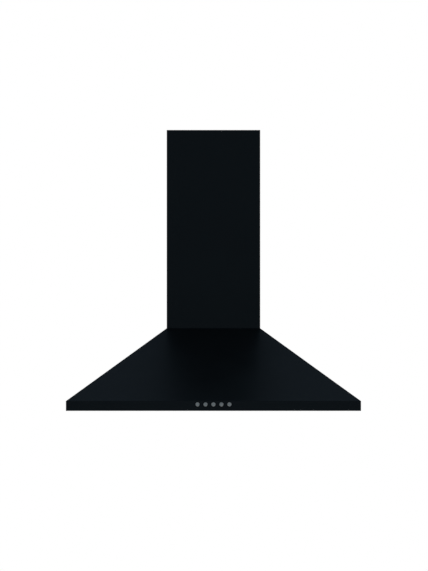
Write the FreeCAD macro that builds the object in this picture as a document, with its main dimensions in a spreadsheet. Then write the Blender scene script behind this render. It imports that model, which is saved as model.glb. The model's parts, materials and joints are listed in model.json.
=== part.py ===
import FreeCAD, Part
import math
import os
import re

import Sketcher

# A chimney range hood for a wall. X runs right as seen from the front, Y runs back to the wall and
# Z runs up. The origin is on the wall plane, at the middle of the hood's bottom edge. Millimetres.

SIZES = {
    # Canopy and chimney
    "canopy_width": 600,
    "canopy_depth": 470,
    "lip_height": 20,
    "canopy_rise": 148,
    "sheet_steel": 0.8,
    "bend_radius": 1.2,
    "rim_flange": 12,
    "chimney_width": 190,
    "chimney_depth": 180,
    "chimney_height": 403,
    "chimney_return": 15,
    "chimney_gap": 1.5,
    "glide_clearance": 0.3,
    "glide_length": 20,
    "glide_inset": 45,
    "upper_base": 32,
    "upper_height": 369,
    "upstand_height": 15,
    # Vent slots of the upper cover
    "vent_count": 6,
    "vent_pitch": 9,
    "vent_length": 60,
    "vent_height": 4,
    "vent_top": 24,
    # Wall fixings
    "keyhole_spacing": 240,
    "keyhole_height": 100,
    "keyhole_entry_radius": 4.75,
    "keyhole_slot_width": 5.2,
    "keyhole_slot_length": 10,
    "lower_hole_spacing": 480,
    "lower_hole_height": 32,
    "lower_hole_radius": 2.75,
    "bracket_web_gap": 4,
    "bracket_height": 30,
    "bracket_drop": 6,
    "bracket_reach": 24,
    "bracket_ear": 28,
    "bracket_slot_spacing": 120,
    "bracket_slot_width": 5.5,
    "bracket_slot_length": 14,
    # Supports and chimney screws
    "support_length": 60,
    "support_flange": 7,
    "screw_radius": 1.9,
    "screw_head_radius": 3.4,
    "screw_head": 1.3,
    "low_head": 1.0,
    "chimney_screw_spacing": 130,
    "chimney_screw_height": 8,
    # Tray, filters and latches
    "tray_depth": 7,
    "centre_bar": 14,
    "rear_ledge": 25.2,
    "filter_gap": 1,
    "side_ledge": 29,
    "front_strip": 122,
    "filter_thickness": 9,
    "filter_border": 14,
    "filter_front_border": 30,
    "filter_skin": 1,
    "mesh_seat": 2,
    "tab_width": 30,
    "tab_inset": 41,
    "tab_reach": 9,
    "tab_thickness": 1,
    "tab_gap": 0.1,
    "latch_width": 30,
    "latch_length": 22,
    "latch_thickness": 1.5,
    "latch_gap": 0.1,
    "latch_side_gap": 0.3,
    "latch_setback": 0.5,
    "latch_travel": 6,
    "grip_width": 20,
    "grip_length": 4,
    "grip_drop": 2.5,
    "grip_setback": 9,
    "tray_screw_inset": 7,
    "tray_screw_end": 56.4,
    # Lamps
    "lamp_inset": 120,
    "lamp_setback": 62,
    "lamp_bezel_radius": 34,
    "lamp_bezel_flange": 1.2,
    "lamp_barrel_radius": 29.5,
    "lamp_barrel_wall": 1.5,
    "lamp_barrel_height": 6,
    "lamp_hole_gap": 0.5,
    "lamp_window_radius": 26,
    "lens_thickness": 2,
    "lamp_housing_height": 16,
    "lamp_housing_wall": 1.2,
    "lamp_fin_height": 5,
    "lamp_fin_count": 7,
    "lamp_fin_thickness": 1.4,
    # Buttons and switch
    "button_count": 5,
    "button_pitch": 16.2,
    "button_height": 13.2,
    "button_radius": 4,
    "button_hole_gap": 0.3,
    "button_proud": 2,
    "button_length": 9,
    "button_travel": 1.5,
    "button_dome": 0.5,
    "button_collar": 1,
    "button_collar_gap": 0.3,
    "stem_radius": 1.2,
    "stem_length": 17,
    "stem_gap": 0.05,
    "spring_radius": 2.8,
    "spring_wire": 0.7,
    "spring_length": 12,
    "spring_gap": 0.3,
    "switch_setback": 13,
    "switch_depth": 20,
    "switch_height": 10.2,
    "switch_end_margin": 15,
    "switch_ear": 8,
    "switch_ear_thickness": 2,
    # Blower
    "blower_depth": 131,
    "blower_height": 102,
    "scroll_radius": 66,
    "scroll_step": 8,
    "scroll_steel": 1,
    "scroll_half_width": 62,
    "inlet_radius": 48,
    "inlet_lip": 6,
    "hanger_reach": 9,
    "hanger_width": 16,
    "hanger_spacing": 56,
    "wheel_radius": 56,
    "wheel_half_width": 52,
    "wheel_disc": 1.5,
    "wheel_ring": 2,
    "wheel_ring_width": 3,
    "blade_count": 36,
    "blade_inner": 45,
    "blade_lean": 6,
    "blade_thickness": 0.7,
    "hub_radius": 9,
    "hub_left": 20,
    "hub_right": 6,
    "shaft_radius": 4,
    "shaft_left": 28,
    "shaft_right": 78,
    "nut_radius": 7.2,
    "nut_thickness": 5,
    # Motor
    "motor_left": 10,
    "motor_length": 64,
    "motor_radius": 36,
    "motor_wall": 1.2,
    "motor_cover": 1.5,
    "bearing_radius": 9,
    "bearing_width": 7,
    "bearing_gap": 0.03,
    "bearing_boss": 2,
    "shaft_hole_gap": 1,
    "stator_margin": 14,
    "stator_bore": 19,
    "air_gap": 0.4,
    "bracket_ring": 4,
    "arm_thickness": 2.5,
    "arm_width": 12,
    "arm_count": 3,
    "arm_screw_radius": 55,
    "arm_end": 4,
    # Outlet collar and flaps
    "duct_radius": 60,
    "duct_centre_depth": 90,
    "collar_wall": 1,
    "collar_height": 40,
    "collar_flange": 140,
    "collar_seat": 3,
    "flap_clearance": 0.6,
    "flap_thickness": 0.8,
    "flap_lift": 0.1,
    "flap_edge_gap": 0.5,
    "flap_pin_radius": 1.5,
    "flap_pin_gap": 0.05,
    "knuckle_wall": 0.75,
    "knuckle_split": 18,
    "knuckle_end": 50,
    "knuckle_gap": 1,
    # Electrical box
    "box_left": 190,
    "box_width": 100,
    "box_bottom": 32,
    "box_tall": 50,
    "box_deep": 40,
    "box_wall": 1.5,
    "terminal_width": 40,
    "terminal_height": 20,
    "terminal_depth": 18,
    "terminal_inset": 8,
    "terminal_ways": 5,
    "terminal_screw_radius": 2,
    "capacitor_radius": 14,
    "capacitor_length": 38,
    "capacitor_inset": 6,
    # Cable gland
    "gland_inset": 15,
    "gland_depth": 11,
    "gland_bore_radius": 4.2,
    "gland_body_radius": 6,
    "gland_flange_radius": 7,
    "gland_flange_height": 4,
    "gland_nut_height": 5,
    # Leads
    "lead_radius": 2,
    "lead_clearance": 0.5,
    "lead_margin": 17,
}

doc = FreeCAD.newDocument("RangeHood")
sheet = doc.addObject("Spreadsheet::Sheet", "Sizes")
for row, (word, number) in enumerate(SIZES.items(), 1):
    sheet.set(f"A{row}", word)
    sheet.set(f"B{row}", str(number))
    sheet.setAlias(f"B{row}", word)
doc.recompute()

WORD = re.compile(r"[a-z][a-z0-9_]*")
NODES = []

# Rotations that carry a cylinder's own +Z to the named axis. The x one also carries its +X to +Y.
TURN = {
    "x": FreeCAD.Rotation(FreeCAD.Vector(1, 1, 1), 120),
    "y": FreeCAD.Rotation(FreeCAD.Vector(1, 0, 0), -90),
    "z": FreeCAD.Rotation(),
}
OVERCUT = 1

# How near an edge's middle must come to a wanted place to be taken for that edge
NEAR = 0.5

# Derived places, shared by the pieces that meet there
TOP = "(lip_height + canopy_rise)"
PLATE_TOP = f"({TOP} + sheet_steel)"
CHIMNEY_TOP = f"({TOP} + chimney_height)"
SIDE_RUN = "((canopy_width - chimney_width) / 2)"
FRONT_RUN = "(canopy_depth - chimney_depth)"
SIDE_WALL = f"(sheet_steel * sqrt(canopy_rise ^ 2 + {SIDE_RUN} ^ 2) / canopy_rise)"
FRONT_WALL = f"(sheet_steel * sqrt(canopy_rise ^ 2 + {FRONT_RUN} ^ 2) / canopy_rise)"
LIP_INSIDE_X = "(canopy_width / 2 - sheet_steel)"
LIP_INSIDE_Y = "(canopy_depth - sheet_steel)"
COVER_INSIDE_X = "(chimney_width / 2 - sheet_steel)"
COVER_INSIDE_Y = "(chimney_depth - sheet_steel)"
UPPER_X = f"({COVER_INSIDE_X} - chimney_gap)"
UPPER_Z = f"({TOP} + upper_base)"
UPPER_TOP = f"({UPPER_Z} + upper_height)"
TRAY_TOP = "(sheet_steel + tray_depth)"
TRAY_UNDER = "tray_depth"
FILTER_REAR = "(sheet_steel + rear_ledge + filter_gap)"
FILTER_FRONT = "(canopy_depth - front_strip - filter_gap)"
FILTER_INNER_X = "(centre_bar / 2 + filter_gap)"
FILTER_OUTER_X = "(canopy_width / 2 - side_ledge - filter_gap)"
FILTER_MIDDLE_X = f"(({FILTER_INNER_X} + {FILTER_OUTER_X}) / 2)"
FILTER_HALF = f"(({FILTER_OUTER_X} - {FILTER_INNER_X}) / 2)"
LAMP_X = "(canopy_width / 2 - lamp_inset)"
LAMP_Y = "(-canopy_depth + lamp_setback)"
GLAND_X = "(-chimney_width / 2 + gland_inset)"
GLAND_Y = "(-gland_depth)"
HINGE_Z = f"({TRAY_TOP} + tab_gap)"
BUTTON_BACK = "(canopy_depth + button_proud - button_length)"
SWITCH_FRONT = "(canopy_depth - switch_setback)"
SWITCH_HALF = "(button_pitch * (button_count - 1) / 2 + switch_end_margin)"
COLLAR_BASE = f"({PLATE_TOP} + sheet_steel)"
FLAP_Z = f"({COLLAR_BASE} + flap_lift)"
KNUCKLE = "(flap_pin_radius + flap_pin_gap + knuckle_wall)"
FLAP_AXIS_Z = f"({FLAP_Z} + {KNUCKLE})"


def bound(formula):
    """The formula with each size's name pointing into the spreadsheet."""
    def pointed(word):
        name = word.group()
        return "Sizes." + name if name in SIZES else name

    return WORD.sub(pointed, str(formula))


def value(formula):
    number = sheet.evalExpression(bound(formula))
    return float(getattr(number, "Value", number))


def count(formula):
    return int(round(value(formula)))


def place(solid, x, y, z):
    for axis, formula in zip("xyz", (x, y, z)):
        solid.setExpression(f"Placement.Base.{axis}", bound(formula))


def node(name, solid):
    solid.Label = name
    NODES.append(solid)
    return solid


def box(x0, x1, y0, y1, z0, z1):
    """A block from its lowest to its highest corner."""
    block = doc.addObject("Part::Box", "Block")
    for side, low, high in (("Length", x0, x1), ("Width", y0, y1), ("Height", z0, z1)):
        block.setExpression(side, bound(f"({high}) - ({low})"))
    place(block, x0, y0, z0)
    return block


def centred_box(x, half, y0, y1, z0, z1):
    return box(f"{x} - ({half})", f"{x} + ({half})", y0, y1, z0, z1)


def rod(axis, x, y, z, radius, length, start=0, sweep=360):
    """A cylinder that starts at a point and runs along +axis, or the sector of one."""
    cylinder = doc.addObject("Part::Cylinder", "Rod")
    cylinder.setExpression("Radius", bound(radius))
    cylinder.setExpression("Height", bound(length))
    cylinder.Angle = sweep
    turn = FreeCAD.Rotation(FreeCAD.Vector(1, 0, 0), start).multiply(TURN[axis]) if start else TURN[axis]
    cylinder.Placement = FreeCAD.Placement(FreeCAD.Vector(), turn)
    place(cylinder, x, y, z)
    return cylinder


def tube(axis, x, y, z, outer, inner, length):
    return cut(rod(axis, x, y, z, outer, length), rod(axis, x, y, z, inner, length))


def hexagon(axis, x, y, z, radius, length):
    prism = doc.addObject("Part::Prism", "Hexagon")
    prism.Polygon = 6
    prism.setExpression("Circumradius", bound(radius))
    prism.setExpression("Height", bound(length))
    prism.Placement = FreeCAD.Placement(FreeCAD.Vector(), TURN[axis])
    place(prism, x, y, z)
    return prism


def cut(base, *tools):
    result = doc.addObject("Part::Cut", "Cut")
    result.Base = base
    result.Tool = tools[0] if len(tools) == 1 else group(*tools)
    return result


def fuse(*solids):
    result = doc.addObject("Part::MultiFuse", "Fused")
    result.Shapes = solids
    result.Refine = True
    return result


def common(first, second):
    result = doc.addObject("Part::Common", "Common")
    result.Base = first
    result.Tool = second
    return result


def group(*solids):
    """Separate solids kept as one object."""
    result = doc.addObject("Part::Compound", "Group")
    result.Links = solids
    return result


def mirrored(solid):
    """The same piece on the other side of the middle plane."""
    result = doc.addObject("Part::Mirroring", "OtherSide")
    result.Source = solid
    result.Normal = FreeCAD.Vector(1, 0, 0)
    return result


def both_sides(solid):
    return group(solid, mirrored(solid))


def body(name):
    return doc.addObject("PartDesign::Body", name)


def origin_plane(owner, role):
    return next(feature for feature in owner.Origin.OriginFeatures if feature.Role == role)


def sketch(owner, role, offset, *shapes):
    """A sketch on one of the body's own planes: lists are polygons, triples are circles."""
    drawing = owner.newObject("Sketcher::SketchObject", owner.Name + "Sketch")
    drawing.AttachmentSupport = (origin_plane(owner, role), [""])
    drawing.MapMode = "FlatFace"
    drawing.setExpression("AttachmentOffset.Base.z", bound(offset))
    for shape in shapes:
        if isinstance(shape, list):
            draw_polygon(drawing, shape)
        else:
            draw_circle(drawing, *shape)
    return drawing


def draw_polygon(drawing, corners):
    first = drawing.GeometryCount
    points = [FreeCAD.Vector(value(x), value(y), 0) for x, y in corners]
    for here, there in zip(points, points[1:] + points[:1]):
        drawing.addGeometry(Part.LineSegment(here, there), False)
    total = len(points)
    for step in range(total):
        following = first + (step + 1) % total
        drawing.addConstraint(Sketcher.Constraint("Coincident", first + step, 2, following, 1))
    for step, (x, y) in enumerate(corners):
        pin_point(drawing, first + step, 1, x, y)


def draw_circle(drawing, x, y, radius):
    centre = FreeCAD.Vector(value(x), value(y), 0)
    edge = drawing.addGeometry(Part.Circle(centre, FreeCAD.Vector(0, 0, 1), value(radius)), False)
    pin_point(drawing, edge, 3, x, y)
    row = drawing.addConstraint(Sketcher.Constraint("Radius", edge, value(radius)))
    drawing.setExpression(f"Constraints[{row}]", bound(radius))


def pin_point(drawing, edge, end, x, y):
    for kind, formula in (("DistanceX", x), ("DistanceY", y)):
        row = drawing.addConstraint(Sketcher.Constraint(kind, -1, 1, edge, end, value(formula)))
        drawing.setExpression(f"Constraints[{row}]", bound(formula))


def pad(owner, drawing, length):
    feature = owner.newObject("PartDesign::Pad", owner.Name + "Pad")
    feature.Profile = drawing
    feature.setExpression("Length", bound(length))
    return feature


def ring_of(owner, feature, copies):
    """The body's last feature repeated round its own Z axis."""
    pattern = owner.newObject("PartDesign::PolarPattern", owner.Name + "Ring")
    pattern.Originals = [feature]
    pattern.Axis = (origin_plane(owner, "Z_Axis"), [""])
    pattern.Angle = 360
    pattern.setExpression("Occurrences", bound(copies))
    owner.Tip = pattern
    return pattern


def fillet_where(owner, base, radius, test):
    """Rounds the edges that pass the test."""
    doc.recompute()
    edges = base.Shape.Edges
    names = [f"Edge{number}" for number, edge in enumerate(edges, 1) if test(edge)]
    feature = owner.newObject("PartDesign::Fillet", owner.Name + "Fillet")
    feature.Base = (base, names)
    feature.setExpression("Radius", bound(radius))
    return feature


def rectangle(half, y0, y1):
    return [(f"-({half})", y0), (half, y0), (half, y1), (f"-({half})", y1)]


def button_x(number):
    return f"(button_pitch * ({number} - (button_count - 1) / 2))"


def screw(axis, x, y, z, length, head_at_end=True, head="screw_head"):
    """A pan-head screw: its shank starts at the point and runs along +axis."""
    places = {"x": x, "y": y, "z": z}
    shank = rod(axis, x, y, z, "screw_radius", length)
    places[axis] = f"{places[axis]} + {length}" if head_at_end else f"{places[axis]} - {head}"
    return fuse(shank, rod(axis, places["x"], places["y"], places["z"], "screw_head_radius", head))


# Canopy


def canopy_outside():
    """The lip's block and the sloping block over it, with softly bent outer edges."""
    owner = body("CanopyOutside")
    foot = rectangle("canopy_width / 2", "-canopy_depth", "-sheet_steel")
    head = rectangle("chimney_width / 2", "-chimney_depth", "-sheet_steel")
    pad(owner, sketch(owner, "XY_Plane", "0", foot), "lip_height")
    slopes = owner.newObject("PartDesign::AdditiveLoft", "CanopySlopes")
    slopes.Profile = sketch(owner, "XY_Plane", "lip_height", foot)
    slopes.Sections = [sketch(owner, "XY_Plane", TOP, head)]
    slopes.Ruled = True
    width = value("canopy_width / 2")
    depth = value("canopy_depth")
    middle_x = value("canopy_width + chimney_width") / 4
    middle_y = -value("canopy_depth + chimney_depth") / 2
    crease_z = value("lip_height")
    rear = -value("sheet_steel") - NEAR

    def is_bend(edge):
        point = edge.CenterOfMass
        corner = abs(abs(point.x) - width) < NEAR and abs(point.y + depth) < NEAR
        slant = abs(abs(point.x) - middle_x) < NEAR and abs(point.y - middle_y) < NEAR
        crease = abs(point.z - crease_z) < NEAR and point.y < rear
        return corner or slant or crease

    fillet_where(owner, slopes, "bend_radius", is_bend)
    return owner


def canopy_inside():
    """The space in the canopy: the slopes' inner planes, kept within the lip's inner faces."""
    lip = box(f"-{LIP_INSIDE_X}", LIP_INSIDE_X, f"-{LIP_INSIDE_Y}", OVERCUT, f"-{OVERCUT}", TOP)
    slopes = doc.addObject("Part::Wedge", "InnerSlopes")
    low_x = f"(canopy_width / 2 - {SIDE_WALL} + lip_height * {SIDE_RUN} / canopy_rise)"
    low_y = f"(canopy_depth - {FRONT_WALL} + lip_height * {FRONT_RUN} / canopy_rise)"
    over_x = f"({OVERCUT} * {SIDE_RUN} / canopy_rise)"
    over_y = f"({OVERCUT} * {FRONT_RUN} / canopy_rise)"
    limits = {
        "Xmin": f"-({low_x} + {over_x})",
        "Xmax": f"{low_x} + {over_x}",
        "Ymin": f"-{OVERCUT}",
        "Ymax": TOP,
        "Zmin": f"-{OVERCUT}",
        "Zmax": f"{low_y} + {over_y}",
        "X2min": f"-(chimney_width / 2 - {SIDE_WALL})",
        "X2max": f"chimney_width / 2 - {SIDE_WALL}",
        "Z2min": f"-{OVERCUT}",
        "Z2max": f"chimney_depth - {FRONT_WALL}",
    }
    for side, formula in limits.items():
        slopes.setExpression(side, bound(formula))
    slopes.Placement = FreeCAD.Placement(FreeCAD.Vector(), FreeCAD.Rotation(FreeCAD.Vector(1, 0, 0), 90))
    return common(lip, slopes)


def canopy_shell():
    button_holes = [
        rod("y", button_x(number), f"-canopy_depth - {OVERCUT}", "button_height",
            "button_radius + button_hole_gap", f"sheet_steel + 2 * {OVERCUT}")
        for number in range(count("button_count"))
    ]
    shell = cut(canopy_outside(), canopy_inside(), *button_holes)
    flange = cut(
        box(f"-{LIP_INSIDE_X}", LIP_INSIDE_X, f"-{LIP_INSIDE_Y}", "-sheet_steel", 0, "sheet_steel"),
        box("-(canopy_width / 2 - rim_flange)", "canopy_width / 2 - rim_flange",
            "-(canopy_depth - rim_flange)", 0, f"-{OVERCUT}", f"sheet_steel + {OVERCUT}"),
    )
    screw_holes = [
        rod("z", x, y, f"-{OVERCUT}", "screw_radius", f"sheet_steel + 2 * {OVERCUT}")
        for x, y in tray_screw_places()
    ]
    node("canopy_shell", cut(fuse(shell, flange), *screw_holes))


def back_panel():
    owner = body("BackPanel")
    outline = [
        ("-canopy_width / 2", "0"),
        ("canopy_width / 2", "0"),
        ("canopy_width / 2", "lip_height"),
        ("chimney_width / 2", TOP),
        ("-chimney_width / 2", TOP),
        ("-canopy_width / 2", "lip_height"),
    ]
    pad(owner, sketch(owner, "XZ_Plane", "0", outline), "sheet_steel")
    deep = f"sheet_steel + 2 * {OVERCUT}"
    start = f"-sheet_steel - {OVERCUT}"
    entry = rod("y", "keyhole_spacing / 2", start, "keyhole_height", "keyhole_entry_radius", deep)
    slot_top = "keyhole_height + keyhole_slot_length"
    slot = centred_box("keyhole_spacing / 2", "keyhole_slot_width / 2", start, OVERCUT,
                       "keyhole_height", slot_top)
    slot_end = rod("y", "keyhole_spacing / 2", start, slot_top, "keyhole_slot_width / 2", deep)
    lower = rod("y", "lower_hole_spacing / 2", start, "lower_hole_height", "lower_hole_radius", deep)
    holes = fuse(entry, slot, slot_end)
    node("back_panel", cut(owner, both_sides(holes), both_sides(lower)))


def top_plate():
    plate = cut(
        box(f"-{COVER_INSIDE_X}", COVER_INSIDE_X, f"-{COVER_INSIDE_Y}", "-sheet_steel",
            TOP, f"{TOP} + upstand_height"),
        box(f"-({COVER_INSIDE_X} - sheet_steel)", f"{COVER_INSIDE_X} - sheet_steel",
            f"-({COVER_INSIDE_Y} - sheet_steel)", 0, PLATE_TOP, f"{TOP} + upstand_height + {OVERCUT}"),
    )
    through = f"sheet_steel + 2 * {OVERCUT}"
    outlet = box("-(scroll_half_width - scroll_steel)", "scroll_half_width - scroll_steel",
                 "-(blower_depth + scroll_step / 2 - scroll_steel)",
                 "-(blower_depth - scroll_radius - scroll_step * 2.5 + scroll_steel)",
                 f"{TOP} - {OVERCUT}", f"{PLATE_TOP} + {OVERCUT}")
    gland = rod("z", GLAND_X, GLAND_Y, f"{TOP} - {OVERCUT}", "gland_body_radius", through)
    hangers = [rod("z", x, y, f"{TOP} - {OVERCUT}", "screw_radius", through) for x, y in hanger_places()]
    sides = [
        rod("x", f"-{COVER_INSIDE_X} - {OVERCUT}", y, z, "screw_radius",
            f"2 * {COVER_INSIDE_X} + 2 * {OVERCUT}")
        for y, z in chimney_screw_places()
    ]
    node("top_plate", cut(plate, outlet, gland, *hangers, *sides))


# Chimney covers and what holds them


def cover(name, half, front, rear, low, high):
    """A bent cover: front, two sides and two narrow returns along the wall."""
    owner = body(name)
    inner = f"({half}) - sheet_steel"
    fold = f"({half}) - chimney_return"
    outline = [
        (f"-({half})", f"-({rear})"),
        (f"-({half})", f"-({front})"),
        (half, f"-({front})"),
        (half, f"-({rear})"),
        (fold, f"-({rear})"),
        (fold, f"-({rear}) - sheet_steel"),
        (inner, f"-({rear}) - sheet_steel"),
        (inner, f"-({front}) + sheet_steel"),
        (f"-({inner})", f"-({front}) + sheet_steel"),
        (f"-({inner})", f"-({rear}) - sheet_steel"),
        (f"-({fold})", f"-({rear}) - sheet_steel"),
        (f"-({fold})", f"-({rear})"),
    ]
    sheet_pad = pad(owner, sketch(owner, "XY_Plane", low, outline), f"({high}) - ({low})")
    side = value(half)
    face = -value(front)

    def is_front_corner(edge):
        point = edge.CenterOfMass
        upright = edge.BoundBox.ZLength > NEAR
        return upright and abs(abs(point.x) - side) < NEAR and abs(point.y - face) < NEAR

    fillet_where(owner, sheet_pad, "bend_radius", is_front_corner)
    return owner


def chimney_screw_places():
    height = f"({PLATE_TOP} + chimney_screw_height)"
    middle = "(-chimney_depth / 2)"
    return [(f"({middle} {sign} chimney_screw_spacing / 2)", height) for sign in ("+", "-")]


def lower_chimney():
    owner = cover("LowerCover", "chimney_width / 2", "chimney_depth", "0", TOP, CHIMNEY_TOP)
    holes = [
        rod("x", f"-chimney_width / 2 - {OVERCUT}", y, z, "screw_radius", f"chimney_width + 2 * {OVERCUT}")
        for y, z in chimney_screw_places()
    ]
    node("lower_chimney", cut(owner, *holes))


def upper_chimney():
    rear = "sheet_steel + chimney_gap"
    front = f"{COVER_INSIDE_Y} - chimney_gap"
    owner = cover("UpperCover", UPPER_X, front, rear, UPPER_Z, UPPER_TOP)
    vents = [
        box(f"-{UPPER_X} - {OVERCUT}", f"{UPPER_X} + {OVERCUT}",
            "-chimney_depth / 2 - vent_length / 2", "-chimney_depth / 2 + vent_length / 2",
            f"{UPPER_TOP} - vent_top - vent_height - {number} * vent_pitch",
            f"{UPPER_TOP} - vent_top - {number} * vent_pitch")
        for number in range(count("vent_count"))
    ]
    holes = [
        rod("x", f"-{UPPER_X} - {OVERCUT}", y, z, "screw_radius", f"2 * {UPPER_X} + 2 * {OVERCUT}")
        for y, z in bracket_screw_places()
    ]
    node("upper_chimney", cut(owner, *vents, *holes))


def bracket_screw_places():
    return [("(-bracket_reach - bracket_ear / 2)", f"({UPPER_TOP} - bracket_drop - bracket_height / 2)")]


def wall_bracket():
    """A strip along the wall whose ends fold forwards and out to the cover's sides."""
    high = f"({UPPER_TOP} - bracket_drop)"
    low = f"({high} - bracket_height)"
    web = "(chimney_width / 2 - chimney_return - bracket_web_gap)"
    inside = f"({UPPER_X} - sheet_steel)"
    step_front = "-bracket_reach - sheet_steel"
    wall_strip = box(f"-{web}", web, "-sheet_steel", 0, low, high)
    arm = box(f"{web} - sheet_steel", web, step_front, 0, low, high)
    step = box(f"{web} - sheet_steel", inside, step_front, "-bracket_reach", low, high)
    ear = box(f"{inside} - sheet_steel", inside, "-bracket_reach - bracket_ear", "-bracket_reach", low, high)
    folded = fuse(wall_strip, arm, step, ear, mirrored(arm), mirrored(step), mirrored(ear))
    middle = f"({low} + bracket_height / 2)"
    half_slot = "(bracket_slot_length - bracket_slot_width) / 2"
    start = f"-sheet_steel - {OVERCUT}"
    deep = f"sheet_steel + 2 * {OVERCUT}"
    slot = fuse(
        centred_box("bracket_slot_spacing / 2", half_slot, start, OVERCUT,
                    f"{middle} - bracket_slot_width / 2", f"{middle} + bracket_slot_width / 2"),
        rod("y", f"bracket_slot_spacing / 2 - {half_slot}", start, middle, "bracket_slot_width / 2", deep),
        rod("y", f"bracket_slot_spacing / 2 + {half_slot}", start, middle, "bracket_slot_width / 2", deep),
    )
    ear_holes = [
        rod("x", f"-{UPPER_X}", y, z, "screw_radius", f"2 * {UPPER_X}") for y, z in bracket_screw_places()
    ]
    node("wall_bracket", cut(folded, both_sides(slot), *ear_holes))


def bracket_screws():
    y, z = bracket_screw_places()[0]
    length = "(3 * sheet_steel)"
    one = screw("x", f"{UPPER_X} - {length}", y, z, length, head="low_head")
    node("bracket_screws", both_sides(one))


def chimney_supports():
    """Two angles on the top plate that the upper cover stands on when it is pushed down."""
    outer = f"({COVER_INSIDE_X} - sheet_steel)"
    front = "-chimney_depth / 2 - support_length / 2"
    back = "-chimney_depth / 2 + support_length / 2"
    leg = box(f"{outer} - sheet_steel", outer, front, back, PLATE_TOP, UPPER_Z)
    shelf = box(f"{outer} - support_flange", outer, front, back, f"{UPPER_Z} - sheet_steel", UPPER_Z)
    node("chimney_supports", both_sides(fuse(leg, shelf)))


def chimney_glides():
    """Nylon pads that keep the sliding cover from rattling in the fixed one."""
    thick = "(chimney_gap - glide_clearance)"
    high = f"({CHIMNEY_TOP} - glide_length / 2)"
    low = f"({high} - glide_length)"
    side = box(f"{COVER_INSIDE_X} - {thick}", COVER_INSIDE_X, f"-{COVER_INSIDE_Y} + glide_inset",
               f"-{COVER_INSIDE_Y} + glide_inset + glide_length", low, high)
    front = centred_box("glide_inset", "glide_length / 2", f"-{COVER_INSIDE_Y}",
                        f"-{COVER_INSIDE_Y} + {thick}", low, high)
    node("chimney_glides", group(side, mirrored(side), front, mirrored(front)))


def chimney_screws():
    length = "(2 * sheet_steel)"
    inner = f"({COVER_INSIDE_X} - sheet_steel)"
    pair = [screw("x", inner, y, z, length, head_at_end=False) for y, z in chimney_screw_places()]
    node("chimney_screws", group(*pair, *[mirrored(one) for one in pair]))


# Underside: tray, filters and lamps


def tray_screw_places():
    x = "(canopy_width / 2 - tray_screw_inset)"
    along = ("(-tray_screw_end)", "(-canopy_depth / 2)", "(-canopy_depth + tray_screw_end)")
    return [(f"{sign}{x}", y) for sign in ("", "-") for y in along]


def filter_tray():
    pan = cut(
        box(f"-{LIP_INSIDE_X}", LIP_INSIDE_X, f"-{LIP_INSIDE_Y}", "-sheet_steel", "sheet_steel", TRAY_TOP),
        box(f"-({LIP_INSIDE_X} - rim_flange)", f"{LIP_INSIDE_X} - rim_flange",
            f"-({LIP_INSIDE_Y} - rim_flange)", "-2 * sheet_steel", 0, TRAY_UNDER),
        box(f"-({LIP_INSIDE_X} - sheet_steel)", f"{LIP_INSIDE_X} - sheet_steel",
            f"-({LIP_INSIDE_Y} - sheet_steel)", "-2 * sheet_steel", "2 * sheet_steel", TRAY_UNDER),
    )
    window = box("centre_bar / 2", "canopy_width / 2 - side_ledge",
                 f"-{FILTER_FRONT} - filter_gap", "-sheet_steel - rear_ledge",
                 f"{TRAY_UNDER} - {OVERCUT}", f"{TRAY_TOP} + {OVERCUT}")
    lamp_hole = rod("z", LAMP_X, LAMP_Y, f"{TRAY_UNDER} - {OVERCUT}",
                    "lamp_barrel_radius + lamp_hole_gap", f"sheet_steel + 2 * {OVERCUT}")
    screw_holes = [
        rod("z", x, y, "sheet_steel / 2", "screw_radius", "2 * sheet_steel") for x, y in tray_screw_places()
    ]
    switch_holes = both_sides(rod("z", switch_screw_x(), switch_screw_y(), f"{TRAY_UNDER} - {OVERCUT}",
                                  "screw_radius", f"sheet_steel + 2 * {OVERCUT}"))
    node("filter_tray", cut(pan, both_sides(window), both_sides(lamp_hole), switch_holes, *screw_holes))


def tray_screws():
    """Screws down through the tray's foot flange into the canopy's rim."""
    node("tray_screws", group(*[
        screw("z", x, y, 0, "2 * sheet_steel", head="low_head") for x, y in tray_screw_places()
    ]))


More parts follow.
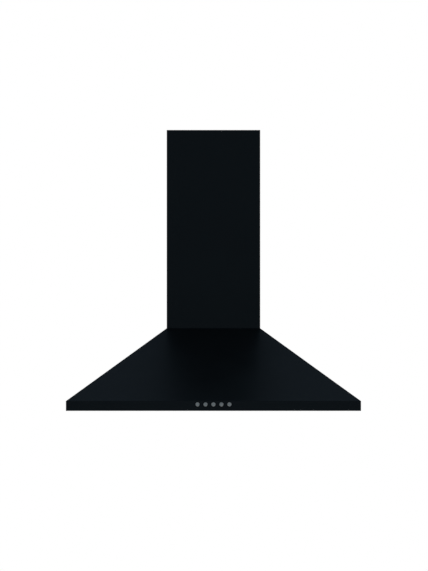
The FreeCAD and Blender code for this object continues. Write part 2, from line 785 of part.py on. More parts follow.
def grease_filter(side):
    """The frame, mesh and latch of the filter on the right; the left one is its mirror image."""
    y_front = f"(-{FILTER_FRONT})"
    y_rear = f"(-{FILTER_REAR})"
    top = f"({TRAY_UNDER} + filter_thickness)"
    floor = f"({TRAY_UNDER} + filter_skin)"
    middle = FILTER_MIDDLE_X
    window_half = f"({FILTER_HALF} - filter_border)"
    window_front = f"({y_front} + filter_front_border)"
    window_rear = f"({y_rear} - filter_border)"
    frame = fuse(
        centred_box(middle, FILTER_HALF, y_front, y_rear, TRAY_UNDER, top),
        *[
            centred_box(f"({middle} {sign} ({FILTER_HALF} - tab_inset))", "tab_width / 2", y_rear,
                        f"{y_rear} + tab_reach", HINGE_Z, f"{HINGE_Z} + tab_thickness")
            for sign in ("-", "+")
        ],
    )
    window = centred_box(middle, window_half, window_front, window_rear,
                         f"{TRAY_UNDER} - {OVERCUT}", f"{top} + {OVERCUT}")
    mesh_pocket = centred_box(middle, f"{window_half} + mesh_seat", f"{window_front} - mesh_seat",
                              f"{window_rear} + mesh_seat", floor, f"{top} - filter_skin")
    tongue_low = f"({floor} + latch_gap)"
    tongue_high = f"({tongue_low} + latch_thickness)"
    latch_back = f"({y_front} + latch_setback + latch_length)"
    cavity = centred_box(middle, "latch_width / 2 + latch_side_gap", f"{y_front} - {OVERCUT}",
                         f"{latch_back} + latch_side_gap", floor, f"{tongue_high} + latch_gap")
    grip_front = f"({y_front} + grip_setback)"
    grip_back = f"({grip_front} + grip_length)"
    grip_slot = centred_box(middle, "grip_width / 2 + latch_side_gap",
                            f"{grip_front} - latch_travel - latch_side_gap", f"{grip_back} + latch_side_gap",
                            f"{TRAY_UNDER} - {OVERCUT}", f"{floor} + latch_gap")
    frame = cut(frame, window, mesh_pocket, cavity, grip_slot)
    mesh = centred_box(middle, f"{window_half} + mesh_seat", f"{window_front} - mesh_seat",
                       f"{window_rear} + mesh_seat", floor, f"{top} - filter_skin")
    latch = fuse(
        centred_box(middle, "latch_width / 2", f"{y_front} + latch_setback", latch_back,
                    tongue_low, tongue_high),
        centred_box(middle, "grip_width / 2", grip_front, grip_back,
                    f"{TRAY_UNDER} - grip_drop", tongue_high),
    )
    for piece, solid in (("frame", frame), ("mesh", mesh), ("latch", latch)):
        node(f"{side}_filter_{piece}", solid if side == "right" else mirrored(solid))


def lamps():
    """Two round lamps let into the tray's front strip, one each side."""
    x = LAMP_X
    y = LAMP_Y
    seat = TRAY_UNDER
    inner = "(lamp_barrel_radius - lamp_barrel_wall)"
    bezel = cut(
        fuse(rod("z", x, y, f"{seat} - lamp_bezel_flange", "lamp_bezel_radius", "lamp_bezel_flange"),
             rod("z", x, y, seat, "lamp_barrel_radius", "lamp_barrel_height")),
        rod("z", x, y, f"{seat} - {OVERCUT} - lamp_bezel_flange", "lamp_window_radius",
            f"lamp_bezel_flange + 2 * {OVERCUT}"),
        rod("z", x, y, seat, inner, f"lamp_barrel_height + {OVERCUT}"),
    )
    lens = rod("z", x, y, seat, inner, "lens_thickness")
    foot = f"({seat} + lens_thickness)"
    roof = f"({foot} + lamp_housing_height)"
    shell = cut(
        rod("z", x, y, foot, inner, "lamp_housing_height"),
        rod("z", x, y, f"{foot} - {OVERCUT}", f"{inner} - lamp_housing_wall",
            f"lamp_housing_height - lamp_housing_wall + {OVERCUT}"),
    )
    pitch = f"(2 * {inner} / (lamp_fin_count + 1))"
    fins = common(
        group(*[
            centred_box(f"({x} + {pitch} * ({number} - (lamp_fin_count - 1) / 2))", "lamp_fin_thickness / 2",
                        f"{y} - {inner}", f"{y} + {inner}", f"{roof} - lamp_housing_wall / 2",
                        f"{roof} + lamp_fin_height")
            for number in range(count("lamp_fin_count"))
        ]),
        rod("z", x, y, foot, inner, "lamp_housing_height + lamp_fin_height"),
    )
    node("lamp_bezels", both_sides(bezel))
    node("lamp_lenses", both_sides(lens))
    node("lamp_housings", both_sides(fuse(shell, fins)))


# Buttons and switch


def button(number):
    """A round cap with a collar behind the lip, a stem, and the spring round the stem."""
    x = button_x(number)
    z = "button_height"
    face = "(-canopy_depth - button_proud)"
    back = f"(-{BUTTON_BACK})"
    collar_front = "(-canopy_depth + sheet_steel + button_collar_gap)"
    dome = doc.addObject("Part::Cone", "Dome")
    dome.setExpression("Radius1", bound("button_radius - button_dome"))
    dome.setExpression("Radius2", bound("button_radius"))
    dome.setExpression("Height", bound("button_dome"))
    dome.Placement = FreeCAD.Placement(FreeCAD.Vector(), TURN["y"])
    place(dome, x, face, z)
    cap = rod("y", x, f"{face} + button_dome", z, "button_radius", "button_length - button_dome")
    collar = rod("y", x, collar_front, z, "button_radius + button_collar", f"{back} - {collar_front}")
    stem = rod("y", x, f"{back} - {OVERCUT}", z, "stem_radius", f"stem_length + {OVERCUT}")
    node(f"button_{number + 1}", fuse(dome, cap, collar, stem))
    node(f"button_spring_{number + 1}",
         tube("y", x, back, z, "spring_radius", "spring_radius - spring_wire", "spring_length"))


def switch_screw_x():
    return f"({SWITCH_HALF} + switch_ear / 2)"


def switch_screw_y():
    return f"(-{SWITCH_FRONT} + switch_depth / 2)"


def switch_body():
    """The block behind the lip that the five stems and springs run into."""
    front = f"(-{SWITCH_FRONT})"
    back = f"({front} + switch_depth)"
    block = box(f"-{SWITCH_HALF}", SWITCH_HALF, front, back, TRAY_TOP, f"{TRAY_TOP} + switch_height")
    ears = box(f"-{SWITCH_HALF} - switch_ear", f"{SWITCH_HALF} + switch_ear", front, back,
               TRAY_TOP, f"{TRAY_TOP} + switch_ear_thickness")
    seat_end = f"(-{BUTTON_BACK} + spring_length + button_travel + spring_gap)"
    stem_end = f"(-{BUTTON_BACK} + stem_length + button_travel + spring_gap)"
    bores = []
    for number in range(count("button_count")):
        x = button_x(number)
        bores.append(rod("y", x, f"{front} - {OVERCUT}", "button_height", "spring_radius + spring_gap",
                         f"{seat_end} - {front} + {OVERCUT}"))
        bores.append(rod("y", x, f"{seat_end} - {OVERCUT}", "button_height", "stem_radius + stem_gap",
                         f"{stem_end} - {seat_end} + {OVERCUT}"))
    holes = both_sides(rod("z", switch_screw_x(), switch_screw_y(), f"{TRAY_TOP} - {OVERCUT}", "screw_radius",
                           f"switch_ear_thickness + 2 * {OVERCUT}"))
    node("switch_body", cut(fuse(block, ears), holes, *bores))


def switch_screws():
    length = "(switch_ear_thickness + sheet_steel)"
    one = screw("z", switch_screw_x(), switch_screw_y(), TRAY_UNDER, length)
    node("switch_screws", both_sides(one))


# Blower


def scroll(x0, x1, inset, roof):
    """The blower's snail shape: three growing quarter turns, then straight up to the roof."""
    y = "(-blower_depth)"
    z = "blower_height"
    width = f"({x1}) - ({x0})"
    near = "scroll_step / 2"
    quarters = (
        (f"{y} - {near}", f"{z} - {near}", "scroll_radius", 90),
        (f"{y} + {near}", f"{z} - {near}", "scroll_radius + scroll_step", 180),
        (f"{y} + {near}", f"{z} + {near}", "scroll_radius + 2 * scroll_step", 270),
    )
    solids = [
        rod("x", x0, centre_y, centre_z, f"{radius} - {inset}", width, start, 90)
        for centre_y, centre_z, radius, start in quarters
    ]
    throat_back = f"{y} + {near} + scroll_radius + 2 * scroll_step - {inset}"
    tongue = f"{z} - {near} + scroll_radius - {inset}"
    solids.append(box(x0, x1, f"{y} - {near}", throat_back, f"{z} + {near}", tongue))
    solids.append(box(x0, x1, f"{y} - {near}", f"{y} + {near}", f"{z} - {near}", f"{z} + {near}"))
    solids.append(box(x0, x1, f"{y} - {near} + {inset}", throat_back, tongue, roof))
    return fuse(*solids)


def scroll_wrap():
    half = "(scroll_half_width - scroll_steel)"
    outside = scroll(f"-{half}", half, 0, TOP)
    inside = scroll(f"-{half} - {OVERCUT}", f"{half} + {OVERCUT}", "scroll_steel", f"{TOP} + {OVERCUT}")
    node("scroll_wrap", cut(outside, inside))


def hanger_places():
    x = "(scroll_half_width + hanger_reach / 2)"
    y = "(-duct_centre_depth)"
    return [
        (f"{side}{x}", f"({y} + {step} * hanger_spacing / 2)")
        for side in ("", "-") for step in (-1, 1)
    ]


def scroll_plate(side):
    """A side of the scroll with its rounded inlet and the two ears that hang it from the top plate."""
    inner = "(scroll_half_width - scroll_steel)"
    centre = ("(-blower_depth)", "blower_height")
    face = scroll(inner, "scroll_half_width", 0, TOP)
    lip = rod("x", f"{inner} - inlet_lip", *centre, "inlet_radius + scroll_steel", "inlet_lip + scroll_steel")
    inlet = rod("x", f"{inner} - inlet_lip - {OVERCUT}", *centre, "inlet_radius",
                f"inlet_lip + scroll_steel + 2 * {OVERCUT}")
    ears = [
        box(inner, "scroll_half_width + hanger_reach", f"{y} - hanger_width / 2", f"{y} + hanger_width / 2",
            f"{TOP} - scroll_steel", TOP)
        for x, y in hanger_places()[:2]
    ]
    holes = [
        rod("z", x, y, f"{TOP} - scroll_steel - {OVERCUT}", "screw_radius", f"scroll_steel + 2 * {OVERCUT}")
        for x, y in hanger_places()[:2]
    ]
    if side == "right":
        holes += [
            rod("x", f"{inner} - {OVERCUT}", y, z, "screw_radius", f"scroll_steel + 2 * {OVERCUT}")
            for y, z in arm_screw_places()
        ]
    plate = cut(fuse(face, lip, *ears), inlet, *holes)
    node(f"scroll_{side}_plate", plate if side == "right" else mirrored(plate))


def blower_screws():
    """Four screws down through collar, top plate and hanger ears, and three through the motor's arms."""
    drop = "(2 * sheet_steel + 2 * scroll_steel)"
    hangers = [screw("z", x, y, f"{COLLAR_BASE} - {drop}", drop) for x, y in hanger_places()]
    length = "(2 * scroll_steel + arm_thickness)"
    start = f"(scroll_half_width + arm_thickness - {length})"
    arms = [screw("x", start, y, z, length) for y, z in arm_screw_places()]
    node("blower_screws", group(*hangers, *arms))


def on_shaft(owner, x):
    """Stands a body's own Z axis along the blower's shaft, with its base at x."""
    owner.Placement = FreeCAD.Placement(FreeCAD.Vector(), TURN["x"])
    place(owner, x, "-blower_depth", "blower_height")
    return owner


def impeller():
    """A double-inlet wheel: middle disc, hub, two end rings and a ring of forward-leaning blades."""
    owner = on_shaft(body("Impeller"), 0)
    middle = ("0", "0")
    pad(owner, sketch(owner, "XY_Plane", "-wheel_disc / 2", (*middle, "wheel_radius")), "wheel_disc")
    pad(owner, sketch(owner, "XY_Plane", "-hub_left", (*middle, "hub_radius")), "hub_left + hub_right")
    for low in ("-wheel_half_width", "wheel_half_width - wheel_ring_width"):
        ring = sketch(owner, "XY_Plane", low, (*middle, "wheel_radius"),
                      (*middle, "wheel_radius - wheel_ring"))
        pad(owner, ring, "wheel_ring_width")
    tip = "wheel_radius - wheel_ring / 2"
    outline = [
        ("blade_inner", "0"),
        (tip, "blade_lean"),
        (tip, "blade_lean + blade_thickness"),
        ("blade_inner", "blade_thickness"),
    ]
    blade = pad(owner, sketch(owner, "XY_Plane", "-wheel_half_width", outline), "2 * wheel_half_width")
    ring_of(owner, blade, "blade_count")
    bore = rod("x", f"-hub_left - {OVERCUT}", "-blower_depth", "blower_height", "shaft_radius",
               f"hub_left + hub_right + 2 * {OVERCUT}")
    node("impeller", cut(owner, bore))


def shaft_rod(x0, length, radius):
    return rod("x", x0, "-blower_depth", "blower_height", radius, length)


def shaft_tube(x0, length, outer, inner):
    return tube("x", x0, "-blower_depth", "blower_height", outer, inner, length)


def rotor_pieces():
    node("motor_shaft", shaft_rod("-shaft_left", "shaft_left + shaft_right", "shaft_radius"))
    core = shaft_tube("motor_left + stator_margin", "motor_length - 2 * stator_margin",
                      "stator_bore - air_gap", "shaft_radius")
    node("rotor_core", core)
    nut = cut(
        hexagon("x", "-hub_left - nut_thickness", "-blower_depth", "blower_height",
                "nut_radius", "nut_thickness"),
        shaft_rod(f"-hub_left - nut_thickness - {OVERCUT}", f"nut_thickness + 2 * {OVERCUT}", "shaft_radius"),
    )
    node("impeller_nut", nut)


def motor():
    """The can and its end cover, each with a bearing boss, and the stator between them."""
    can_right = "(motor_left + motor_length)"
    shaft_hole = "shaft_radius + shaft_hole_gap"
    boss = "bearing_radius + bearing_boss"
    can = cut(
        fuse(
            cut(shaft_rod("motor_left", "motor_length", "motor_radius"),
                shaft_rod("motor_left + motor_wall", "motor_length", "motor_radius - motor_wall")),
            shaft_rod("motor_left + motor_wall / 2", "motor_wall / 2 + bearing_width", boss),
        ),
        shaft_rod("motor_left + motor_wall", f"bearing_width + {OVERCUT}", "bearing_radius"),
        shaft_rod(f"motor_left - {OVERCUT}", f"motor_wall + 2 * {OVERCUT}", shaft_hole),
    )
    node("motor_can", can)
    cover_plate = cut(
        fuse(
            shaft_rod(can_right, "motor_cover", "motor_radius"),
            shaft_rod(f"{can_right} - bearing_width", "bearing_width + motor_cover / 2", boss),
        ),
        shaft_rod(f"{can_right} - bearing_width - {OVERCUT}", f"bearing_width + {OVERCUT}", "bearing_radius"),
        shaft_rod(f"{can_right} - {OVERCUT}", f"motor_cover + 2 * {OVERCUT}", shaft_hole),
    )
    node("motor_end_cover", cover_plate)
    bearing_bore = "shaft_radius + bearing_gap"
    node("motor_bearings", group(
        shaft_tube("motor_left + motor_wall", "bearing_width", "bearing_radius", bearing_bore),
        shaft_tube(f"{can_right} - bearing_width", "bearing_width", "bearing_radius", bearing_bore),
    ))
    node("stator_core", shaft_tube("motor_left + stator_margin", "motor_length - 2 * stator_margin",
                                   "motor_radius - motor_wall", "stator_bore"))


def arm_screw_places():
    arms = count("arm_count")
    turns = [2 * math.pi * number / arms for number in range(arms)]
    return [
        (f"(-blower_depth + arm_screw_radius * {math.cos(turn):.6f})",
         f"(blower_height + arm_screw_radius * {math.sin(turn):.6f})")
        for turn in turns
    ]


def motor_bracket():
    """A ring round the can with arms out to the scroll's right side."""
    owner = on_shaft(body("MotorBracket"), "scroll_half_width")
    rim = "motor_radius + bracket_ring"
    pad(owner, sketch(owner, "XY_Plane", "0", ("0", "0", rim), ("0", "0", "motor_radius")), "arm_thickness")
    outline = [
        ("motor_radius + bracket_ring / 2", "-arm_width / 2"),
        ("arm_screw_radius + arm_end", "-arm_width / 2"),
        ("arm_screw_radius + arm_end", "arm_width / 2"),
        ("motor_radius + bracket_ring / 2", "arm_width / 2"),
    ]
    arm = pad(owner, sketch(owner, "XY_Plane", "0", outline), "arm_thickness")
    ring_of(owner, arm, "arm_count")
    holes = [
        rod("x", f"scroll_half_width - {OVERCUT}", y, z, "screw_radius", f"arm_thickness + 2 * {OVERCUT}")
        for y, z in arm_screw_places()
    ]
    can_space = shaft_rod(f"scroll_half_width - {OVERCUT}", f"arm_thickness + 2 * {OVERCUT}", "motor_radius")
    node("motor_bracket", cut(owner, can_space, *holes))


# Outlet


def outlet_collar():
    """A square flange over the blower's outlet and the round spigot that the duct slips on."""
    y = "(-duct_centre_depth)"
    half = "collar_flange / 2"
    flange = box(f"-{half}", half, f"{y} - {half}", f"{y} + {half}", PLATE_TOP, COLLAR_BASE)
    spigot = rod("z", 0, y, PLATE_TOP, "duct_radius", "sheet_steel + collar_height")
    bore = rod("z", 0, y, COLLAR_BASE, "duct_radius - collar_wall", f"collar_height + {OVERCUT}")
    seat_hole = rod("z", 0, y, f"{PLATE_TOP} - {OVERCUT}", "duct_radius - collar_wall - collar_seat",
                    f"sheet_steel + 2 * {OVERCUT}")
    pin_hole = rod("x", f"-duct_radius - {OVERCUT}", y, FLAP_AXIS_Z, "flap_pin_radius",
                   f"2 * duct_radius + 2 * {OVERCUT}")
    screws = [
        rod("z", x, place_y, f"{PLATE_TOP} - {OVERCUT}", "screw_radius", f"sheet_steel + 2 * {OVERCUT}")
        for x, place_y in hanger_places()
    ]
    node("outlet_collar", cut(fuse(flange, spigot), bore, seat_hole, pin_hole, *screws))
    node("flap_pin", rod("x", "-duct_radius", y, FLAP_AXIS_Z, "flap_pin_radius", "2 * duct_radius"))


def flap(name, direction, spans):
    """Half a disc that lies on the collar's seat, with knuckles round the pin."""
    y = "(-duct_centre_depth)"
    radius = "(duct_radius - collar_wall - flap_clearance)"
    disc = rod("z", 0, y, FLAP_Z, radius, "flap_thickness")
    clear = f"({KNUCKLE} + flap_edge_gap)"
    far = f"{radius} + {OVERCUT}"
    low, high = f"{FLAP_Z} - {OVERCUT}", f"{FLAP_Z} + {KNUCKLE}"
    if direction < 0:
        half = centred_box(0, far, f"{y} - {far}", f"{y} - {clear}", low, high)
    else:
        half = centred_box(0, far, f"{y} + {clear}", f"{y} + {far}", low, high)
    pieces = [common(disc, half)]
    for x0, x1 in spans:
        near = (f"{y} - {clear}", y) if direction < 0 else (y, f"{y} + {clear}")
        pieces.append(box(x0, x1, *near, FLAP_Z, f"{FLAP_Z} + flap_thickness"))
        pieces.append(rod("x", x0, y, FLAP_AXIS_Z, KNUCKLE, f"({x1}) - ({x0})"))
    pin_space = rod("x", f"-({far})", y, FLAP_AXIS_Z, "flap_pin_radius + flap_pin_gap", f"2 * ({far})")
    node(name, cut(fuse(*pieces), pin_space))


def flaps():
    inner = "(knuckle_split + knuckle_gap)"
    flap("flap_front", -1, [("-knuckle_end", f"-{inner}"), (inner, "knuckle_end")])
    flap("flap_rear", 1, [("-knuckle_split", "knuckle_split")])


# Electrical parts


def electrical_box():
    x0 = "(-box_left)"
    x1 = "(-box_left + box_width)"
    back = "(-sheet_steel)"
    front = f"({back} - box_deep)"
    low = "box_bottom"
    high = "(box_bottom + box_tall)"
    wall = "box_wall"
    shell = cut(
        box(x0, x1, front, back, low, high),
        box(f"{x0} + {wall}", f"{x1} - {wall}", f"{front} - {OVERCUT}", f"{back} - {wall}",
            f"{low} + {wall}", f"{high} - {wall}"),
        rod("x", f"{x0} - {OVERCUT}", box_port_y(), box_port_z(), "lead_radius",
            f"{wall} + 2 * {OVERCUT}"),
        rod("x", f"{x1} - {wall} - {OVERCUT}", box_port_y(), box_port_z(), "lead_radius",
            f"{wall} + 2 * {OVERCUT}"),
    )
    node("electrical_box", shell)
    node("electrical_box_lid", box(x0, x1, f"{front} - {wall}", front, low, high))
    inside_x0 = f"({x0} + {wall} + terminal_inset)"
    inside_z0 = f"({low} + {wall})"
    block = box(inside_x0, f"{inside_x0} + terminal_width",
                f"{back} - {wall} - terminal_depth", f"{back} - {wall}",
                f"{inside_z0} + terminal_inset", f"{inside_z0} + terminal_inset + terminal_height")
    ways = [
        rod("y", f"{inside_x0} + terminal_width * ({number} + 0.5) / terminal_ways",
            f"{back} - {wall} - terminal_depth - {OVERCUT}",
            f"{inside_z0} + terminal_inset + terminal_height / 2",
            "terminal_screw_radius", f"terminal_depth / 3 + {OVERCUT}")
        for number in range(count("terminal_ways"))
    ]
    node("terminal_block", cut(block, *ways))
    node("capacitor", rod("x", f"{x1} - {wall} - capacitor_inset - capacitor_length",
                          f"{back} - {wall} - capacitor_radius", f"{low} + {wall} + capacitor_radius",
                          "capacitor_radius", "capacitor_length"))


def box_port_y():
    return "(-sheet_steel - box_deep + box_wall + 3 * lead_radius)"


def box_port_z():
    return "(box_bottom + box_tall - box_wall - 3 * lead_radius)"


def cable_gland():
    """The flanged bush in the top plate that the mains cable comes in through."""
    x = GLAND_X
    y = GLAND_Y
    low = f"({TOP} - gland_nut_height)"
    bush = fuse(
        rod("z", x, y, low, "gland_body_radius", "gland_nut_height + sheet_steel + gland_flange_height"),
        rod("z", x, y, PLATE_TOP, "gland_flange_radius", "gland_flange_height"),
        hexagon("z", x, y, low, "2 * gland_flange_radius - gland_body_radius", "gland_nut_height"),
    )
    bore = rod("z", x, y, f"{low} - {OVERCUT}", "gland_bore_radius",
               f"gland_nut_height + sheet_steel + gland_flange_height + 2 * {OVERCUT}")
    node("cable_gland", cut(bush, bore))


# Leads


def lead(name, routes):
    """Round leads along straight runs joined by tangent arcs."""
    radius = value("lead_radius")
    solids = []
    for route in routes:
        points = [FreeCAD.Vector(*[value(part) for part in point]) for point in route]
        wire, length, bends = rounded_path(points)
        solid = tube_along(wire, points[1] - points[0], radius)
        ideal = math.pi * radius ** 2 * length
        print(f"{name}: length {length:.1f}, bend radii {[round(bend, 1) for bend in bends]}, "
              f"volume {solid.Volume:.0f} of {ideal:.0f}")
        solids.append(solid)
    feature = doc.addObject("Part::Feature", "Lead")
    feature.Shape = solids[0] if len(solids) == 1 else Part.makeCompound(solids)
    node(name, feature)


def rounded_path(points):
    share = 0.45
    edges = []
    bends = []
    start = points[0]
    for before, corner, after in zip(points, points[1:], points[2:]):
        into = (corner - before).normalize()
        out = (after - corner).normalize()
        turn = into.getAngle(out)
        reach = share * min((corner - before).Length, (after - corner).Length)
        bend = reach / math.tan(turn / 2)
        enter = corner - into * reach
        leave = corner + out * reach
        inward = (out - into).normalize()
        middle = corner + inward * (bend / math.cos(turn / 2) - bend)
        edges.append(Part.makeLine(start, enter))
        edges.append(Part.Arc(enter, middle, leave).toShape())
        bends.append(bend)
        start = leave
    edges.append(Part.makeLine(start, points[-1]))
    length = sum(edge.Length for edge in edges)
    return Part.Wire(edges), length, bends


def tube_along(wire, direction, radius):
    start = wire.Edges[0].Vertexes[0].Point
    ring = Part.Wire(Part.makeCircle(radius, start, direction))
    return wire.makePipeShell([ring], True, False)


def leads():
    """Routes chosen by hand along the tray, the canopy's rear corners and round the blower."""

    def off(base, radii):
        """A place so many lead radii from another."""
        return f"({base} + {radii} * lead_radius)"

    run_x = "(canopy_width / 2 - lead_margin)"
    low = f"({TRAY_TOP} + lead_radius + lead_clearance)"
    port_z = box_port_z()
    port_y = box_port_y()
    side = f"(-{SWITCH_HALF})"
    wall = f"(-{run_x})"
    front = f"(-{SWITCH_FRONT})"
    lead("switch_lead", [[
        (side, off(front, 7), off(low, 1.5)),
        (off(side, -17), off(front, 7), off(low, 1.5)),
        (off(side, -32), off(front, 2), low),
        (off(side, -62), off(front, 3), low),
        (off(wall, 22), off(front, 2), low),
        (off(wall, 7), off(front, 10), low),
        (wall, off(front, 30), low),
        (off(wall, 1), "-0.56 * canopy_depth", low),
        (wall, "-0.24 * canopy_depth", off(low, 2)),
        (off(wall, 3), "-0.15 * canopy_depth", off(low, 6)),
        (off(wall, 12), off(port_y, -5), off(low, 12)),
        (off(wall, 24), off(port_y, -0.5), off(low, 20)),
        (off(wall, 35), port_y, port_z),
        ("-box_left", port_y, port_z),
    ]])
    end = "(motor_left + motor_length + motor_cover)"
    exit_y = "(-blower_depth + 0.6 * motor_radius)"
    behind = "((-blower_depth + scroll_radius + 2.5 * scroll_step - sheet_steel) / 2)"
    box_right = "(-box_left + box_width)"
    lead("motor_lead", [[
        (end, exit_y, off("blower_height", 3)),
        (off(end, 10), exit_y, off("blower_height", 3)),
        (off(end, 17), "-blower_depth + 1.2 * motor_radius", off("blower_height", 2.5)),
        (off(end, 13), "-blower_depth + 1.9 * motor_radius", off("blower_height", 1.5)),
        (off(end, 1), "-blower_depth + 2.5 * motor_radius", "blower_height"),
        ("0.7 * scroll_half_width", behind, off("blower_height", -2)),
        ("0", off(behind, 1), off("blower_height", -4)),
        ("-0.75 * scroll_half_width", behind, off("blower_height", -7)),
        (off(box_right, 11), off(port_y, 1), port_z),
        (box_right, port_y, port_z),
    ]])
    lamp_x = f"({LAMP_X} + lamp_barrel_radius - lamp_barrel_wall)"
    lamp_z = f"({TRAY_UNDER} + lens_thickness + lamp_housing_height / 2)"
    beside = f"({run_x} - 3 * lead_radius)"
    ledge = "(-sheet_steel - rear_ledge / 3)"
    port_x = "(-box_left + box_width / 2)"
    lead("lamp_leads", [
        [
            (f"-{lamp_x}", LAMP_Y, lamp_z),
            (off(f"-{lamp_x}", -11), LAMP_Y, lamp_z),
            (off(f"-{lamp_x}", -23), off(LAMP_Y, 6), off(low, 1.5)),
            (off(f"-{beside}", 1), off(LAMP_Y, 26), low),
            (f"-{beside}", "-0.52 * canopy_depth", low),
            (off(f"-{beside}", 0.5), "-0.24 * canopy_depth", low),
            (off(f"-{beside}", -0.5), "-0.085 * canopy_depth", low),
            (off(f"-{beside}", 3), off(ledge, -4.5), low),
            (off(f"-{beside}", 15), off(ledge, -1), off(low, 0.5)),
            (off(port_x, -28), off(ledge, -0.5), off(low, 0.5)),
            (off(port_x, -13), off(ledge, -4), off(low, 1.5)),
            (off(port_x, -5), off(ledge, -6), off(low, 4.5)),
            (off(port_x, -5), off(ledge, -6), "box_bottom"),
        ],
        [
            (lamp_x, LAMP_Y, lamp_z),
            (off(lamp_x, 11), LAMP_Y, lamp_z),
            (off(lamp_x, 23), off(LAMP_Y, 6), off(low, 1.5)),
            (off(beside, -1), off(LAMP_Y, 26), low),
            (beside, "-0.52 * canopy_depth", low),
            (off(beside, -0.5), "-0.24 * canopy_depth", low),
            (off(beside, 0.5), "-0.085 * canopy_depth", low),
            (off(beside, -3), off(ledge, -4.5), low),
            (off(beside, -15), off(ledge, -1), off(low, 0.5)),
            (off(beside, -75), ledge, low),
            ("0", off(ledge, 0.5), off(low, 0.5)),
            (off(port_x, 35), ledge, off(low, 0.5)),
            (off(port_x, 13), off(ledge, -0.5), off(low, 1)),
            (off(port_x, 5), ledge, off(low, 4.5)),
            (off(port_x, 5), ledge, "box_bottom"),
        ],
    ])


def check_and_write():
    doc.recompute()
    faults = [thing.Label for thing in doc.Objects if {"Invalid", "Error"} & set(thing.State)]
    for piece in NODES:
        if piece.Shape.isNull() or not piece.Shape.isValid() or not piece.Shape.Solids:
            faults.append(piece.Label)
    if faults:
        raise SystemExit(f"failed pieces: {faults}")
    os.makedirs("parts", exist_ok=True)
    for piece in NODES:
        piece.Shape.exportStep(f"parts/{piece.Label}.step")
    print(f"{len(NODES)} nodes")


canopy_shell()
back_panel()
top_plate()
lower_chimney()
upper_chimney()
wall_bracket()
bracket_screws()
chimney_supports()
chimney_glides()
chimney_screws()
filter_tray()
tray_screws()
for side_name in ("left", "right"):
    grease_filter(side_name)
lamps()
for button_number in range(count("button_count")):
    button(button_number)
switch_body()
switch_screws()
scroll_wrap()
for side_name in ("left", "right"):
    scroll_plate(side_name)
impeller()
rotor_pieces()
motor()
motor_bracket()
blower_screws()
outlet_collar()
flaps()
electrical_box()
cable_gland()
leads()
check_and_write()
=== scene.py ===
import json
import math

import bmesh
import bpy
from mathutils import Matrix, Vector

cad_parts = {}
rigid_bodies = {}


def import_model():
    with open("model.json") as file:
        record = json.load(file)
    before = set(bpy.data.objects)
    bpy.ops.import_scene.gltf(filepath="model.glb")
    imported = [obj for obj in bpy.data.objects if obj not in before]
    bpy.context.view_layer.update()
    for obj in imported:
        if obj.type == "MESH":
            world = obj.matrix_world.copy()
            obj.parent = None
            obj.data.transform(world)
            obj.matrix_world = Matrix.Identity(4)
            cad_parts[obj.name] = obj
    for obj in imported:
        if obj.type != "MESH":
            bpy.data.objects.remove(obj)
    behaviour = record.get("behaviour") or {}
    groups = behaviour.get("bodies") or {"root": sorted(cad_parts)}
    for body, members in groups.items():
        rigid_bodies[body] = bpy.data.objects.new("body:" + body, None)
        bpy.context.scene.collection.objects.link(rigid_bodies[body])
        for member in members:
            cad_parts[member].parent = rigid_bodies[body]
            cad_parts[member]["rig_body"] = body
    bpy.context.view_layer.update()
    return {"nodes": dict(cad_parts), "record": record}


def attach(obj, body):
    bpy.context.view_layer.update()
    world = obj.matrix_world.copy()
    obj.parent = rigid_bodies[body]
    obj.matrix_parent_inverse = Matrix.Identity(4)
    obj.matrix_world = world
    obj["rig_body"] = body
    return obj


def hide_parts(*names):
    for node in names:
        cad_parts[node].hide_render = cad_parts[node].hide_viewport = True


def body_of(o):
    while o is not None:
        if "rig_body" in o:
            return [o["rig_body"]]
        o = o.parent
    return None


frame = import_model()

# A black wall-mounted range hood. In metres, X is right, Y is back to the wall and Z is up. The
# origin is at the wall, on the middle of the hood's bottom edge.

NODES = frame["nodes"]
MM = 0.001

bpy.ops.object.select_all(action="DESELECT")


# Colours and nodes

# A colour Mix node's sockets by number, because its kinds of input share their names
FACTOR, FIRST, SECOND, MIXED = 0, 6, 7, 2
# Metres from band to band of a wave texture at a scale of 1
WAVE_STEP = 0.314


def colour(code):
    """An sRGB hex colour as the linear one that the shaders take."""
    parts = [int(code[place:place + 2], 16) / 255 for place in (1, 3, 5)]
    return (*[part / 12.92 if part <= 0.04045 else ((part + 0.055) / 1.055) ** 2.4
              for part in parts], 1)


def add_node(tree, kind, links=None, **settings):
    """Adds a node. links gives each input a number, a colour or the output that feeds it."""
    node = tree.nodes.new(kind)
    for name, setting in settings.items():
        setattr(node, name, setting)
    for name, source in (links or {}).items():
        if isinstance(source, bpy.types.NodeSocket):
            tree.links.new(source, node.inputs[name])
        else:
            node.inputs[name].default_value = source
    return node


def finish_of(name):
    """A new material, its tree, its shader, and the place on the piece in metres."""
    material = bpy.data.materials.new(name)
    material.use_nodes = True
    tree = material.node_tree
    place = add_node(tree, "ShaderNodeTexCoord").outputs["Object"]
    return material, tree, tree.nodes["Principled BSDF"], place


def lay_on(tree, shader, tone=None, gloss=None, bump=None):
    """Leads a finish's colour, roughness and relief into its shader."""
    for node, output, name in ((tone, MIXED, "Base Color"), (gloss, "Result", "Roughness"),
                               (bump, "Normal", "Normal")):
        if node is not None:
            tree.links.new(node.outputs[output], shader.inputs[name])


# Finishes


